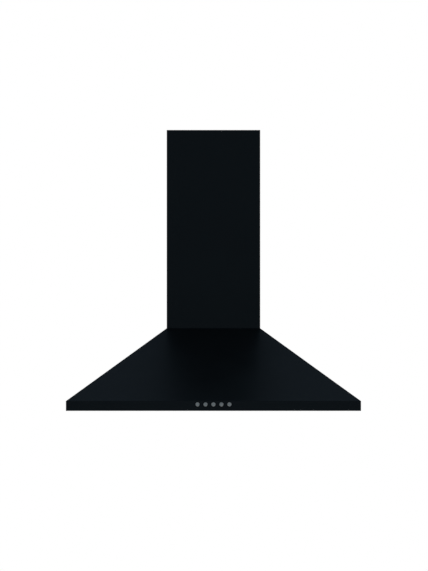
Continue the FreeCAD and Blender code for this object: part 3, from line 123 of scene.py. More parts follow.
def black_powder_coat():
    """Polyester powder coat, sprayed and baked, satin: black with a faint orange peel."""
    material, tree, shader, place = finish_of("black_powder_coat")
    # The real peel is about 0.5 mm across, drawn at 1.6 mm so that it shows
    peel = add_node(tree, "ShaderNodeTexNoise", {"Vector": place, "Scale": 1 / (1.6 * MM),
                                                 "Detail": 2.0})
    cloud = add_node(tree, "ShaderNodeTexNoise", {"Vector": place, "Scale": 1 / (70 * MM),
                                                  "Detail": 3.0})
    bump = add_node(tree, "ShaderNodeBump", {"Height": peel.outputs["Fac"], "Strength": 0.25,
                                             "Distance": 0.03 * MM})
    gloss = add_node(tree, "ShaderNodeMapRange", {"Value": cloud.outputs["Fac"], "From Min": 0.35,
                                                  "From Max": 0.65, "To Min": 0.36,
                                                  "To Max": 0.40})
    tone = add_node(tree, "ShaderNodeMix", {FACTOR: cloud.outputs["Fac"],
                                            FIRST: colour("#010204"), SECOND: colour("#010406")},
                    data_type="RGBA")
    lay_on(tree, shader, tone=tone, gloss=gloss, bump=bump)
    return material


def galvanised_steel():
    """Hot-dip galvanised sheet: grey zinc in leafy spangles, each a little lighter or darker."""
    material, tree, shader, place = finish_of("galvanised_steel")
    drift = add_node(tree, "ShaderNodeTexNoise", {"Vector": place, "Scale": 1 / (9 * MM),
                                                  "Detail": 3.0})
    # Spangles are about 8 mm across, and their edges wander by up to 12 mm
    swirl = add_node(tree, "ShaderNodeMix", {FACTOR: 12 * MM, FIRST: place,
                                             SECOND: drift.outputs["Color"]}, data_type="RGBA")
    spangle = add_node(tree, "ShaderNodeTexVoronoi", {"Vector": swirl.outputs[MIXED],
                                                      "Scale": 1 / (8 * MM)})
    cell = add_node(tree, "ShaderNodeSeparateColor", {"Color": spangle.outputs["Color"]})
    grain = add_node(tree, "ShaderNodeTexNoise", {"Vector": place, "Scale": 1 / (1.2 * MM),
                                                  "Detail": 4.0})
    tone = add_node(tree, "ShaderNodeMix", {FACTOR: cell.outputs["Red"],
                                            FIRST: colour("#b0b6ba"), SECOND: colour("#bfc5c8")},
                    data_type="RGBA")
    gloss = add_node(tree, "ShaderNodeMapRange", {"Value": cell.outputs["Green"], "To Min": 0.4,
                                                  "To Max": 0.5})
    bump = add_node(tree, "ShaderNodeBump", {"Height": grain.outputs["Fac"], "Strength": 0.2,
                                             "Distance": 0.03 * MM})
    shader.inputs["Metallic"].default_value = 0.85
    lay_on(tree, shader, tone=tone, gloss=gloss, bump=bump)
    return material


def laminated_steel():
    """Stacked silicon-steel laminations, seen at their cut edges: dark grey with fine rings."""
    material, tree, shader, place = finish_of("laminated_steel")
    # Real laminations are 0.5 mm thick, drawn at 1 mm so that they show
    layers = add_node(tree, "ShaderNodeTexWave", {"Vector": place, "Scale": WAVE_STEP / (1.0 * MM),
                                                  "Distortion": 0.0}, bands_direction="X")
    bump = add_node(tree, "ShaderNodeBump", {"Height": layers.outputs["Fac"], "Strength": 0.5,
                                             "Distance": 0.08 * MM})
    tone = add_node(tree, "ShaderNodeMix", {FACTOR: layers.outputs["Fac"],
                                            FIRST: colour("#4c4d4f"), SECOND: colour("#77797b")},
                    data_type="RGBA")
    shader.inputs["Metallic"].default_value = 1.0
    shader.inputs["Roughness"].default_value = 0.48
    lay_on(tree, shader, tone=tone, bump=bump)
    return material


def ground_steel():
    """Ground and polished shaft steel: bright, with faint rings from the grinding wheel."""
    material, tree, shader, place = finish_of("ground_steel")
    # Rings 0.4 mm apart along the shaft, and 17 mm long round it
    stretch = add_node(tree, "ShaderNodeMapping", {"Vector": place,
                                                   "Scale": (1 / (0.4 * MM), 60, 60)})
    rings = add_node(tree, "ShaderNodeTexNoise", {"Vector": stretch.outputs["Vector"],
                                                  "Scale": 1.0, "Detail": 2.0})
    gloss = add_node(tree, "ShaderNodeMapRange", {"Value": rings.outputs["Fac"], "To Min": 0.16,
                                                  "To Max": 0.32})
    tone = add_node(tree, "ShaderNodeMix", {FACTOR: rings.outputs["Fac"],
                                            FIRST: colour("#b9bbbd"), SECOND: colour("#d0d2d3")},
                    data_type="RGBA")
    shader.inputs["Metallic"].default_value = 1.0
    lay_on(tree, shader, tone=tone, gloss=gloss)
    return material


def zinc_plated_steel():
    """Bright zinc-plated screws: silvery with a faint blue passivation."""
    material, tree, shader, place = finish_of("zinc_plated_steel")
    patch = add_node(tree, "ShaderNodeTexNoise", {"Vector": place, "Scale": 1 / (2.5 * MM),
                                                  "Detail": 3.0})
    tone = add_node(tree, "ShaderNodeMix", {FACTOR: patch.outputs["Fac"],
                                            FIRST: colour("#b4bcc6"), SECOND: colour("#d2d3cf")},
                    data_type="RGBA")
    gloss = add_node(tree, "ShaderNodeMapRange", {"Value": patch.outputs["Fac"], "To Min": 0.2,
                                                  "To Max": 0.36})
    shader.inputs["Metallic"].default_value = 1.0
    lay_on(tree, shader, tone=tone, gloss=gloss)
    return material


def mill_aluminium():
    """Mill-finish aluminium strip: pale and soft, with fine lines from the rolls."""
    material, tree, shader, place = finish_of("mill_aluminium")
    # Lines 0.7 mm apart and 40 mm long
    stretch = add_node(tree, "ShaderNodeMapping", {"Vector": place,
                                                   "Scale": (1 / (0.7 * MM), 25, 25)})
    lines = add_node(tree, "ShaderNodeTexNoise", {"Vector": stretch.outputs["Vector"],
                                                  "Scale": 1.0, "Detail": 3.0})
    gloss = add_node(tree, "ShaderNodeMapRange", {"Value": lines.outputs["Fac"], "To Min": 0.27,
                                                  "To Max": 0.44})
    tone = add_node(tree, "ShaderNodeMix", {FACTOR: lines.outputs["Fac"],
                                            FIRST: colour("#bfc1c3"), SECOND: colour("#d9dadb")},
                    data_type="RGBA")
    bump = add_node(tree, "ShaderNodeBump", {"Height": lines.outputs["Fac"], "Strength": 0.15,
                                             "Distance": 0.02 * MM})
    shader.inputs["Metallic"].default_value = 1.0
    lay_on(tree, shader, tone=tone, gloss=gloss, bump=bump)
    return material


def satin_chrome():
    """Satin chrome plate on a die-cast ring: cool, slightly blurred, even."""
    material, tree, shader, place = finish_of("satin_chrome")
    mist = add_node(tree, "ShaderNodeTexNoise", {"Vector": place, "Scale": 1 / (1.5 * MM),
                                                 "Detail": 2.0})
    gloss = add_node(tree, "ShaderNodeMapRange", {"Value": mist.outputs["Fac"], "To Min": 0.2,
                                                  "To Max": 0.3})
    tone = add_node(tree, "ShaderNodeMix", {FACTOR: mist.outputs["Fac"],
                                            FIRST: colour("#b9bdc1"), SECOND: colour("#c9cdd0")},
                    data_type="RGBA")
    shader.inputs["Metallic"].default_value = 1.0
    lay_on(tree, shader, tone=tone, gloss=gloss)
    return material


def silver_lacquer():
    """Silver lacquer on plastic push-button caps: metal flake in a clear binder, grey and matt."""
    material, tree, shader, place = finish_of("silver_lacquer")
    # Real flake is about 0.05 mm, drawn at 0.4 mm so that it shows
    flake = add_node(tree, "ShaderNodeTexNoise", {"Vector": place, "Scale": 1 / (0.4 * MM),
                                                  "Detail": 2.0})
    gloss = add_node(tree, "ShaderNodeMapRange", {"Value": flake.outputs["Fac"], "To Min": 0.34,
                                                  "To Max": 0.46})
    bump = add_node(tree, "ShaderNodeBump", {"Height": flake.outputs["Fac"], "Strength": 0.2,
                                             "Distance": 0.02 * MM})
    tone = add_node(tree, "ShaderNodeMix", {FACTOR: flake.outputs["Fac"],
                                            FIRST: colour("#c6c7c4"), SECOND: colour("#d8d8d4")},
                    data_type="RGBA")
    shader.inputs["Metallic"].default_value = 0.94
    lay_on(tree, shader, tone=tone, gloss=gloss, bump=bump)
    return material


def moulded_plastic(name, dark, light, gloss_low, gloss_high):
    """Injection-moulded plastic: a spark-eroded grain and slow changes of tone along its flow."""
    material, tree, shader, place = finish_of(name)
    # The real grain is about 0.6 mm, drawn at 1 mm so that it shows
    grain = add_node(tree, "ShaderNodeTexNoise", {"Vector": place, "Scale": 1 / (1.0 * MM),
                                                  "Detail": 3.0})
    flow = add_node(tree, "ShaderNodeTexNoise", {"Vector": place, "Scale": 1 / (30 * MM),
                                                 "Detail": 2.0})
    bump = add_node(tree, "ShaderNodeBump", {"Height": grain.outputs["Fac"], "Strength": 0.3,
                                             "Distance": 0.04 * MM})
    tone = add_node(tree, "ShaderNodeMix", {FACTOR: flow.outputs["Fac"], FIRST: colour(dark),
                                            SECOND: colour(light)}, data_type="RGBA")
    gloss = add_node(tree, "ShaderNodeMapRange", {"Value": grain.outputs["Fac"],
                                                  "To Min": gloss_low, "To Max": gloss_high})
    lay_on(tree, shader, tone=tone, gloss=gloss, bump=bump)
    return material


def frosted_glass():
    """Pressed lamp glass with an acid-etched back: milky, passes light without a clear view."""
    material, tree, shader, place = finish_of("frosted_glass")
    frost = add_node(tree, "ShaderNodeTexNoise", {"Vector": place, "Scale": 1 / (0.8 * MM),
                                                  "Detail": 3.0})
    bump = add_node(tree, "ShaderNodeBump", {"Height": frost.outputs["Fac"], "Strength": 0.4,
                                             "Distance": 0.05 * MM})
    gloss = add_node(tree, "ShaderNodeMapRange", {"Value": frost.outputs["Fac"], "To Min": 0.35,
                                                  "To Max": 0.55})
    shader.inputs["Base Color"].default_value = colour("#eef2f2")
    shader.inputs["Transmission Weight"].default_value = 0.55
    shader.inputs["IOR"].default_value = 1.52
    lay_on(tree, shader, gloss=gloss, bump=bump)
    return material


# Each material slot's finish
FINISHES = {
    "black_powder_coat": black_powder_coat(),
    "zinc_coated_steel": galvanised_steel(),
    "core_steel": laminated_steel(),
    "shaft_steel": ground_steel(),
    "screw_steel": zinc_plated_steel(),
    "filter_aluminium": mill_aluminium(),
    "satin_chrome": satin_chrome(),
    "button_chrome": silver_lacquer(),
    "black_abs": moulded_plastic("black_abs", "#141516", "#1b1c1e", 0.42, 0.58),
    "grey_abs": moulded_plastic("grey_abs", "#8d9193", "#999da0", 0.42, 0.56),
    "latch_abs": moulded_plastic("latch_abs", "#2b2d2f", "#343638", 0.38, 0.5),
    "white_nylon": moulded_plastic("white_nylon", "#dcdad2", "#e8e6df", 0.36, 0.5),
    "pvc_lead": moulded_plastic("grey_pvc", "#c9c9c6", "#d6d6d3", 0.3, 0.42),
    "lamp_glass": frosted_glass(),
}


def dress(piece, finish):
    """Gives a piece one finish all over."""
    piece.data.materials.clear()
    piece.data.materials.append(finish)


for part in frame["record"]["subparts"]:
    dress(NODES[part["node"]], FINISHES[part["material_slot"]])


# Tools for modelling by hand. Their lengths are in mm.

BODY_OF = {part["node"]: body_of(NODES[part["node"]])[0]
           for part in frame["record"]["subparts"]}
SLOT_OF = {part["node"]: part["material_slot"] for part in frame["record"]["subparts"]}
# Each axis: how a circle turns to face along it, and its number
AXES = {"X": ((0, math.pi / 2, 0), 0), "Y": ((math.pi / 2, 0, 0), 1), "Z": ((0, 0, 0), 2)}
# Points closer than this are one point
WELD = 0.002 * MM
# An edge sharper than CRISP is shaded as an edge, and one sharper than SHARP can be rounded
CRISP = math.radians(30)
SHARP = math.radians(40)


def mm(*lengths):
    """Lengths in mm as a vector in metres."""
    return Vector([length * MM for length in lengths])


def only(piece):
    """Selects one piece alone."""
    bpy.ops.object.select_all(action="DESELECT")
    piece.select_set(True)
    bpy.context.view_layer.objects.active = piece


def open_up(piece):
    """Edit mode with every vert picked, those of a bare loop among them."""
    only(piece)
    bpy.ops.object.mode_set(mode="EDIT")
    bpy.ops.mesh.select_mode(type="VERT")
    bpy.ops.mesh.select_all(action="SELECT")


def pick(piece, kind, test):
    """In edit mode, selects only the faces, edges or verts that pass the test."""
    bpy.ops.mesh.select_mode(type={"faces": "FACE", "edges": "EDGE", "verts": "VERT"}[kind])
    bpy.ops.mesh.select_all(action="DESELECT")
    mesh = bmesh.from_edit_mesh(piece.data)
    for part in getattr(mesh, kind):
        part.select_set(test(part))
    mesh.select_flush_mode()
    bmesh.update_edit_mesh(piece.data)


def place_in_mesh(piece):
    """Moves an object's place, turn and scale into its mesh."""
    only(piece)
    bpy.ops.object.transform_apply(location=True, rotation=True, scale=True)


def shade(piece):
    """Smooth curves between crisp edges."""
    only(piece)
    bpy.ops.object.shade_smooth_by_angle(angle=CRISP)


def settle(piece, outward=True):
    """Leaves edit mode, with the place in the mesh, the faces outward and the edges crisp."""
    bpy.ops.mesh.select_all(action="SELECT")
    bpy.ops.mesh.remove_doubles(threshold=WELD)
    if outward:
        bpy.ops.mesh.normals_make_consistent(inside=False)
    bpy.ops.object.mode_set(mode="OBJECT")
    place_in_mesh(piece)
    shade(piece)
    bpy.ops.object.select_all(action="DESELECT")
    return piece


def apply_modifier(piece, kind, **settings):
    """Adds a modifier and applies it."""
    only(piece)
    modifier = piece.modifiers.new(kind.lower(), kind)
    for name, setting in settings.items():
        setattr(modifier, name, setting)
    bpy.ops.object.modifier_apply(modifier=modifier.name)


def combine(piece, tool, operation):
    """Adds the tool's shape to the piece or cuts it out, and clears the tool away."""
    apply_modifier(piece, "BOOLEAN", operation=operation, object=tool, solver="EXACT")
    bpy.data.objects.remove(tool)


def soften(piece, width):
    """Rounds every sharp edge."""
    apply_modifier(piece, "BEVEL", width=width * MM, segments=2, limit_method="ANGLE",
                   angle_limit=SHARP, use_clamp_overlap=True)
    shade(piece)


def joined(name, pieces):
    """Several pieces as one, under a new name."""
    bpy.ops.object.select_all(action="DESELECT")
    for piece in pieces:
        piece.select_set(True)
    bpy.context.view_layer.objects.active = pieces[0]
    bpy.ops.object.join()
    pieces[0].name = name
    return pieces[0]


def copied(piece, name, *move):
    """A copy with its own mesh, moved."""
    only(piece)
    bpy.ops.object.duplicate(linked=False)
    copy = bpy.context.object
    copy.name = name
    bpy.ops.transform.translate(value=mm(*move))
    place_in_mesh(copy)
    return copy


def mirror_copied(piece, name):
    """A copy on the hood's other side."""
    copy = copied(piece, name, 0, 0, 0)
    open_up(copy)
    bpy.ops.transform.resize(value=(-1, 1, 1), center_override=(0, 0, 0))
    return settle(copy)


def block(name, low, high):
    """A block between two corners, left in edit mode."""
    middle = [(a + b) / 2 for a, b in zip(low, high)]
    bpy.ops.mesh.primitive_cube_add(size=1, location=mm(*middle))
    piece = bpy.context.object
    piece.name = name
    piece.scale = mm(*[b - a for a, b in zip(low, high)])
    place_in_mesh(piece)
    open_up(piece)
    return piece


def turned(name, axis, centre, steps, sides=48, ring=False):
    """A turned piece, left in edit mode: each step is a radius and a place along the axis.

    A ring's last step meets its first, and any other piece is closed at both ends."""
    turn, number = AXES[axis]
    radius, reach = steps[0]
    pivot = mm(*centre)
    pivot[number] = reach * MM
    bpy.ops.object.select_all(action="DESELECT")
    bpy.ops.mesh.primitive_circle_add(vertices=sides, radius=radius * MM, location=pivot,
                                      rotation=turn, fill_type="NOTHING" if ring else "NGON")
    piece = bpy.context.object
    piece.name = name
    open_up(piece)
    for next_radius, next_reach in steps[1:]:
        move = Vector()
        move[number] = (next_reach - reach) * MM
        bpy.ops.mesh.extrude_region_move(TRANSFORM_OT_translate={"value": move})
        growth = Vector([next_radius / radius] * 3)
        growth[number] = 1
        bpy.ops.transform.resize(value=growth, center_override=pivot)
        radius, reach = next_radius, next_reach
    return piece


def stand_in(piece, *nodes):
    """The piece takes the place of CAD nodes, on their body and in their finish."""
    slot = SLOT_OF[nodes[0]]
    dress(piece, FINISHES[slot])
    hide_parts(*nodes)
    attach(piece, BODY_OF[nodes[0]])


# Push buttons and their springs

BUTTON_COUNT = 5
MIDDLE_BUTTON = 3
BUTTON_PITCH = 16.2
BUTTON_Z = 13.2
# From the stem's back, past the collar behind the lip, to the middle of the cap
BUTTON_STEPS = [
    (0.9, -446.0), (1.2, -446.4), (1.2, -463.0), (4.7, -463.0), (5.0, -463.3), (5.0, -468.6),
    (4.7, -468.9), (4.0, -468.9), (4.0, -471.3), (3.9, -471.6), (3.7, -471.8), (3.4, -471.9),
    (3.2, -471.75), (3.05, -471.75), (2.85, -471.85), (2.2, -471.93), (1.4, -471.98),
    (0.6, -472.0),
]
SPRING_WIRE_RADIUS = 0.35
SPRING_WIRE_SIDES = 8
SPRING_RADIUS = 2.45
SPRING_FRONT = -463.0
SPRING_LENGTH = 12.0
SPRING_TURNS = 7
SPRING_STEPS_A_TURN = 16


def push_button():
    """The middle button: a stem, a collar behind the lip, and a cap with a rim round a low dome."""
    return settle(turned("push_button_3", "Y", (0, 0, BUTTON_Z), BUTTON_STEPS, sides=40))


def button_spring():
    """The middle button's coil of wire round its stem."""
    bpy.ops.object.select_all(action="DESELECT")
    bpy.ops.mesh.primitive_circle_add(
        vertices=SPRING_WIRE_SIDES, radius=SPRING_WIRE_RADIUS * MM, fill_type="NOTHING",
        location=mm(0, SPRING_FRONT + SPRING_WIRE_RADIUS, BUTTON_Z))
    spring = bpy.context.object
    spring.name = "coil_spring_3"
    open_up(spring)
    bpy.ops.transform.translate(value=mm(SPRING_RADIUS, 0, 0))
    bpy.ops.object.mode_set(mode="OBJECT")
    apply_modifier(spring, "SCREW", axis="Y",
                   screw_offset=(SPRING_LENGTH - 2 * SPRING_WIRE_RADIUS) / SPRING_TURNS * MM,
                   iterations=SPRING_TURNS, steps=SPRING_STEPS_A_TURN,
                   render_steps=SPRING_STEPS_A_TURN, use_merge_vertices=False)
    open_up(spring)
    bpy.ops.mesh.fill_holes(sides=SPRING_WIRE_SIDES)
    return settle(spring)


middle_button = push_button()
middle_spring = button_spring()
for number in range(1, BUTTON_COUNT + 1):
    cap, coil = middle_button, middle_spring
    if number != MIDDLE_BUTTON:
        offset = BUTTON_PITCH * (number - MIDDLE_BUTTON)
        cap = copied(middle_button, f"push_button_{number}", offset, 0, 0)
        coil = copied(middle_spring, f"coil_spring_{number}", offset, 0, 0)
    stand_in(cap, f"button_{number}")
    stand_in(coil, f"button_spring_{number}")


# Lamps

LAMP_X = 180.0
LAMP_Y = -408.0
# From the lens's seat round the rim below the tray, and up the wall inside the tray's hole
BEZEL_STEPS = [
    (26.0, 7.0), (26.0, 6.3), (26.3, 6.05), (27.0, 6.0), (27.3, 6.3), (28.0, 6.3), (28.4, 5.95),
    (29.4, 5.8), (32.6, 5.8), (33.4, 5.95), (33.85, 6.3), (34.0, 6.7), (34.0, 7.0), (29.5, 7.0),
    (29.5, 13.0), (28.0, 13.0), (28.0, 7.0), (26.0, 7.0),
]
LENS_TOP = 9.0
LENS_FOOT = 7.0
LENS_EDGE = 28.0
LENS_WINDOW = 25.6
LENS_RINGS = 10
LENS_RING_DEPTH = 0.28
# Where a ring's steep side ends and its slope ends, as shares of the pitch
RING_CREST, RING_END = 0.15, 0.95


def lens_steps():
    """Down from a flat back and a flat seat into rings of small prisms."""
    steps = [(LENS_EDGE, LENS_TOP), (LENS_EDGE, LENS_FOOT), (LENS_WINDOW, LENS_FOOT)]
    pitch = LENS_WINDOW / (LENS_RINGS + 0.5)
    for ring in range(LENS_RINGS):
        radius = LENS_WINDOW - pitch * ring
        steps.append((radius - RING_CREST * pitch, LENS_FOOT - LENS_RING_DEPTH))
        steps.append((radius - RING_END * pitch, LENS_FOOT))
    return steps


bezel = settle(turned("bezel_right", "Z", (LAMP_X, LAMP_Y, 0), BEZEL_STEPS, sides=96, ring=True))
lens = settle(turned("lens_right", "Z", (LAMP_X, LAMP_Y, 0), lens_steps(), sides=72))
for right, name, node in ((bezel, "lamp_rings", "lamp_bezels"),
                          (lens, "lamp_glasses", "lamp_lenses")):
    stand_in(joined(name, [right, copied(right, "left", -2 * LAMP_X, 0, 0)]), node)


# Grease filters

FILTER_X = 139.0
MESH_LOW = (20.0, -319.0)
MESH_HIGH = (258.0, -39.0)
STRAND_WIDTH = 0.75
STRAND_THICK = 0.35
STRAND_LEAN = 0.45
# Level, cell length and cell height of each sheet, the fine one between two coarse ones
MESH_SHEETS = [(8.85, 12.0, 7.0), (11.5, 8.5, 5.0), (14.1, 12.0, 7.0)]


def expanded_sheet(level, long, short):
    """Slit and stretched aluminium: diamonds whose strands lean, trimmed to the filter's size."""
    low_x, low_y = MESH_LOW
    high_x, high_y = MESH_HIGH
    bpy.ops.object.select_all(action="DESELECT")
    bpy.ops.mesh.primitive_circle_add(vertices=4, radius=long / 2 * MM, fill_type="NGON",
                                      location=mm(low_x, low_y, level))
    sheet = bpy.context.object
    sheet.name = "expanded_sheet"
    open_up(sheet)
    bpy.ops.transform.resize(value=(1, short / long, 1), center_override=mm(low_x, low_y, level))
    bpy.ops.mesh.inset(thickness=STRAND_WIDTH * MM)
    bpy.ops.mesh.delete(type="FACE")
    # The cell's inner corners lie nearer its middle than this, and its outer ones don't
    tip = short / 2 * MM * 0.98
    for end in (1, -1):
        pick(sheet, "verts",
             lambda corner: abs(corner.co.x) < 0.01 * MM and 0 < corner.co.y * end < tip)
        bpy.ops.transform.translate(value=mm(0, 0, end * STRAND_LEAN))
    bpy.ops.mesh.select_all(action="SELECT")
    bpy.ops.mesh.duplicate_move(TRANSFORM_OT_translate={"value": mm(long / 2, short / 2, 0)})
    bpy.ops.object.mode_set(mode="OBJECT")
    across = math.ceil((high_x - low_x) / long) + 1
    down = math.ceil((high_y - low_y) / short) + 1
    for count, step in ((across, mm(long, 0, 0)), (down, mm(0, short, 0))):
        apply_modifier(sheet, "ARRAY", count=count, use_relative_offset=False,
                       use_constant_offset=True, constant_offset_displace=step)
    open_up(sheet)
    bpy.ops.mesh.remove_doubles(threshold=0.01 * MM)
    for x, y, way in ((low_x, low_y, (-1, 0, 0)), (low_x, low_y, (0, -1, 0)),
                      (high_x, high_y, (1, 0, 0)), (high_x, high_y, (0, 1, 0))):
        bpy.ops.mesh.select_all(action="SELECT")
        bpy.ops.mesh.bisect(plane_co=mm(x, y, level), plane_no=way, clear_outer=True)
    settle(sheet, outward=False)
    apply_modifier(sheet, "SOLIDIFY", thickness=STRAND_THICK * MM, offset=0.0)
    return sheet


right_mesh = joined("expanded_mesh_right", [expanded_sheet(*sheet) for sheet in MESH_SHEETS])
stand_in(copied(right_mesh, "expanded_mesh_left", -2 * FILTER_X, 0, 0), "left_filter_mesh")
stand_in(right_mesh, "right_filter_mesh")

# Half of each width, and the Y and Z of each lower and upper corner
TONGUE_HALF, TONGUE_LOW, TONGUE_HIGH = 15, (-346.5, 8.1), (-324.5, 9.6)
GRIP_HALF, GRIP_LOW, GRIP_HIGH = 10, (-338, 4.5), (-334, 8.8)
# The grip's ribs and the grooves between them
GRIP_BANDS = 15
GROOVE_EDGE = 0.12
GROOVE_DEPTH = 0.4


def latch():
    """The right filter's sliding latch: a flat tongue and a finger grip with grooves across it."""
    tongue = settle(block("latch_right", (FILTER_X - TONGUE_HALF, *TONGUE_LOW),
                          (FILTER_X + TONGUE_HALF, *TONGUE_HIGH)))
    grip = block("grip", (FILTER_X - GRIP_HALF, *GRIP_LOW), (FILTER_X + GRIP_HALF, *GRIP_HIGH))
    pick(grip, "edges", lambda edge: abs(edge.verts[0].co.x - edge.verts[1].co.x) > MM)
    bpy.ops.mesh.subdivide(number_cuts=GRIP_BANDS - 1)
    pitch = 2 * GRIP_HALF / GRIP_BANDS
    pick(grip, "faces", lambda face: abs(face.normal.y) > 0.9
         and int((face.calc_center_median().x / MM - FILTER_X + GRIP_HALF) / pitch) % 2 == 1)
    bpy.ops.mesh.inset(thickness=GROOVE_EDGE * MM, use_individual=True)
    bpy.ops.mesh.extrude_region_shrink_fatten(
        TRANSFORM_OT_shrink_fatten={"value": -GROOVE_DEPTH * MM})
    settle(grip)
    combine(tongue, grip, "UNION")
    soften(tongue, 0.15)
    return tongue


right_latch = latch()
stand_in(mirror_copied(right_latch, "latch_left"), "left_filter_latch")
stand_in(right_latch, "right_filter_latch")


def cad_copy(node, name):
    """A CAD piece's own shape as a new mesh, its loose triangles merged into whole faces."""
    piece = bpy.data.objects.new(name, NODES[node].data.copy())
    bpy.context.collection.objects.link(piece)
    open_up(piece)
    bpy.ops.mesh.customdata_custom_splitnormals_clear()
    bpy.ops.mesh.remove_doubles(threshold=WELD)
    bpy.ops.mesh.dissolve_limited(angle_limit=math.radians(1))
    return settle(piece)


# Outer corner and window corner of each mitre in the right filter's frame, seen from below
MITRES = [((8, -347), (22, -317)), ((270, -347), (256, -317)), ((8, -27), (22, -41)),
          ((270, -27), (256, -41))]
MITRE_WIDTH = 0.45
MITRE_DEPTH = 0.3
# How much longer than its mitre the cutter is
MITRE_OVERRUN = 1.5
FRAME_UNDERSIDE = 7.0
FRAME_BEND = 0.4


def filter_frame():
    """The right filter's frame: rolled aluminium channel with a fine open mitre at each corner."""
    channel = cad_copy("right_filter_frame", "filter_frame_right")
    soften(channel, FRAME_BEND)
    for (x0, y0), (x1, y1) in MITRES:
        cutter = settle(block("mitre", (-0.5, -0.5, -0.5), (0.5, 0.5, 0.5)))
        cutter.scale = (math.hypot(x1 - x0, y1 - y0) + MITRE_OVERRUN, MITRE_WIDTH,
                        2 * MITRE_DEPTH)
        cutter.rotation_euler = (0, 0, math.atan2(y1 - y0, x1 - x0))
        cutter.location = mm((x0 + x1) / 2, (y0 + y1) / 2, FRAME_UNDERSIDE)
        place_in_mesh(cutter)
        combine(channel, cutter, "DIFFERENCE")
    shade(channel)
    return channel


right_frame = filter_frame()
stand_in(mirror_copied(right_frame, "filter_frame_left"), "left_filter_frame")
stand_in(right_frame, "right_filter_frame")


# Screws

SCREW_RADIUS = 1.9
THREAD_DEPTH = 0.3
THREAD_PITCH = 0.8
HEAD_RADIUS = 3.4
HEAD_ROUNDING = 0.1
# Up over the head, as shares of its radius and its height
HEAD_CURVE = [(1.0, 0.4), (0.94, 0.72), (0.8, 0.92), (0.6, 1.0)]
CROSS_LENGTH = 3.6
CROSS_WIDTH = 0.7
CROSS_DEPTH = 0.6
UP = (0, 0, 0)
RIGHT = (0, math.pi / 2, 0)
LEFT = (0, -math.pi / 2, 0)
# Each node's screws: shank length, head height, the way the heads face, and the seats
SCREWS = {
    "tray_screws": [(1.6, 1.0, UP, [(x, y, 1.6) for x in (-293, 293)
                                    for y in (-56.4, -235, -413.6)])],
    "switch_screws": [(2.8, 1.3, UP, [(x, -447, 9.8) for x in (-51.4, 51.4)])],
    "blower_screws": [
        (3.6, 1.3, UP, [(x, y, 169.6) for x in (-66.5, 66.5) for y in (-118, -62)]),
        (4.5, 1.3, RIGHT, [(64.5, -76, 102), (64.5, -158.5, 149.63), (64.5, -158.5, 54.37)]),
    ],
    "chimney_screws": [
        (1.6, 1.3, LEFT, [(93.4, y, 176.8) for y in (-25, -155)]),
        (1.6, 1.3, RIGHT, [(-93.4, y, 176.8) for y in (-25, -155)]),
    ],
    "bracket_screws": [(2.4, 1.0, RIGHT, [(92.7, -38, 548)]),
                       (2.4, 1.0, LEFT, [(-92.7, -38, 548)])],
}


def pan_head_screw(length, head):
    """A threaded shank under a low rounded head with a cross in it, seated on the origin."""
    root = SCREW_RADIUS - THREAD_DEPTH
    depth = -length
    steps = [(root, depth)]
    while depth + THREAD_PITCH < 0:
        steps += [(SCREW_RADIUS, depth + THREAD_PITCH / 2), (root, depth + THREAD_PITCH)]
        depth += THREAD_PITCH
    steps += [(SCREW_RADIUS, 0), (HEAD_RADIUS - HEAD_ROUNDING, 0), (HEAD_RADIUS, HEAD_ROUNDING)]
    steps += [(HEAD_RADIUS * out, head * up) for out, up in HEAD_CURVE]
    screw = settle(turned("screw", "Z", (0, 0, 0), steps, sides=32))
    for along, across in ((CROSS_LENGTH, CROSS_WIDTH), (CROSS_WIDTH, CROSS_LENGTH)):
        bar = settle(block("bar", (-along / 2, -across / 2, head - CROSS_DEPTH),
                           (along / 2, across / 2, head + 0.5)))
        combine(screw, bar, "DIFFERENCE")
    return screw


for node, kinds in SCREWS.items():
    placed = []
    for length, head, turn, seats in kinds:
        model = pan_head_screw(length, head)
        for seat in seats:
            one = copied(model, node + "_one", 0, 0, 0)
            one.rotation_euler = turn
            one.location = mm(*seat)
            place_in_mesh(one)
            shade(one)
            placed.append(one)
        bpy.data.objects.remove(model)
    stand_in(joined("pan_head_" + node, placed), node)


# Cable gland

GLAND_X = -80.0
GLAND_Y = -11.0
# The bush: its shank through the top plate, its flange, and its rounded mouth above
GLAND_STEPS = [
    (4.2, 163.0), (5.7, 163.0), (6.0, 163.3), (6.0, 168.8), (7.0, 168.8), (7.0, 170.6),
    (6.8, 170.8), (6.8, 171.1), (7.0, 171.3), (6.9, 172.0), (6.5, 172.5), (5.9, 172.8),
    (4.7, 172.8), (4.35, 172.6), (4.2, 172.2), (4.2, 163.0),
]
NUT_STEPS = [(5.9, 163.2), (7.6, 163.2), (8.0, 163.6), (8.0, 167.5), (7.6, 168.0), (5.9, 168.0),
             (5.9, 163.2)]

bush = settle(turned("gland_bush", "Z", (GLAND_X, GLAND_Y, 0), GLAND_STEPS, sides=48, ring=True))
nut = settle(turned("gland_nut", "Z", (GLAND_X, GLAND_Y, 0), NUT_STEPS, sides=6, ring=True))
stand_in(joined("gland", [bush, nut]), "cable_gland")


# Edges that moulding and folding leave soft, each with the width of its rounding

SOFT_EDGES = {"electrical_box": 0.5, "electrical_box_lid": 0.6, "switch_body": 0.3,
              "terminal_block": 0.5, "capacitor": 1.0, "chimney_glides": 0.3}
for node, width in SOFT_EDGES.items():
    weld = NODES[node].modifiers.new("weld", "WELD")
    weld.merge_threshold = WELD
    rounding = NODES[node].modifiers.new("rounding", "BEVEL")
    rounding.width = width * MM
    rounding.segments = 2
    rounding.limit_method = "ANGLE"
    rounding.angle_limit = SHARP


# Stage

WHITE = (1, 1, 1, 1)
# Linear colours: the soft light that falls on the hood, and the room that its gloss mirrors
AMBIENT = (0.55, 0.55, 0.55, 1)
ROOM_IN_FRONT = (0.075, 0.108, 0.135, 1)
ROOM_AT_BACK = (0.061, 0.088, 0.117, 1)
# A worktop's height below the hood, in metres
FLOOR_Z = -0.65
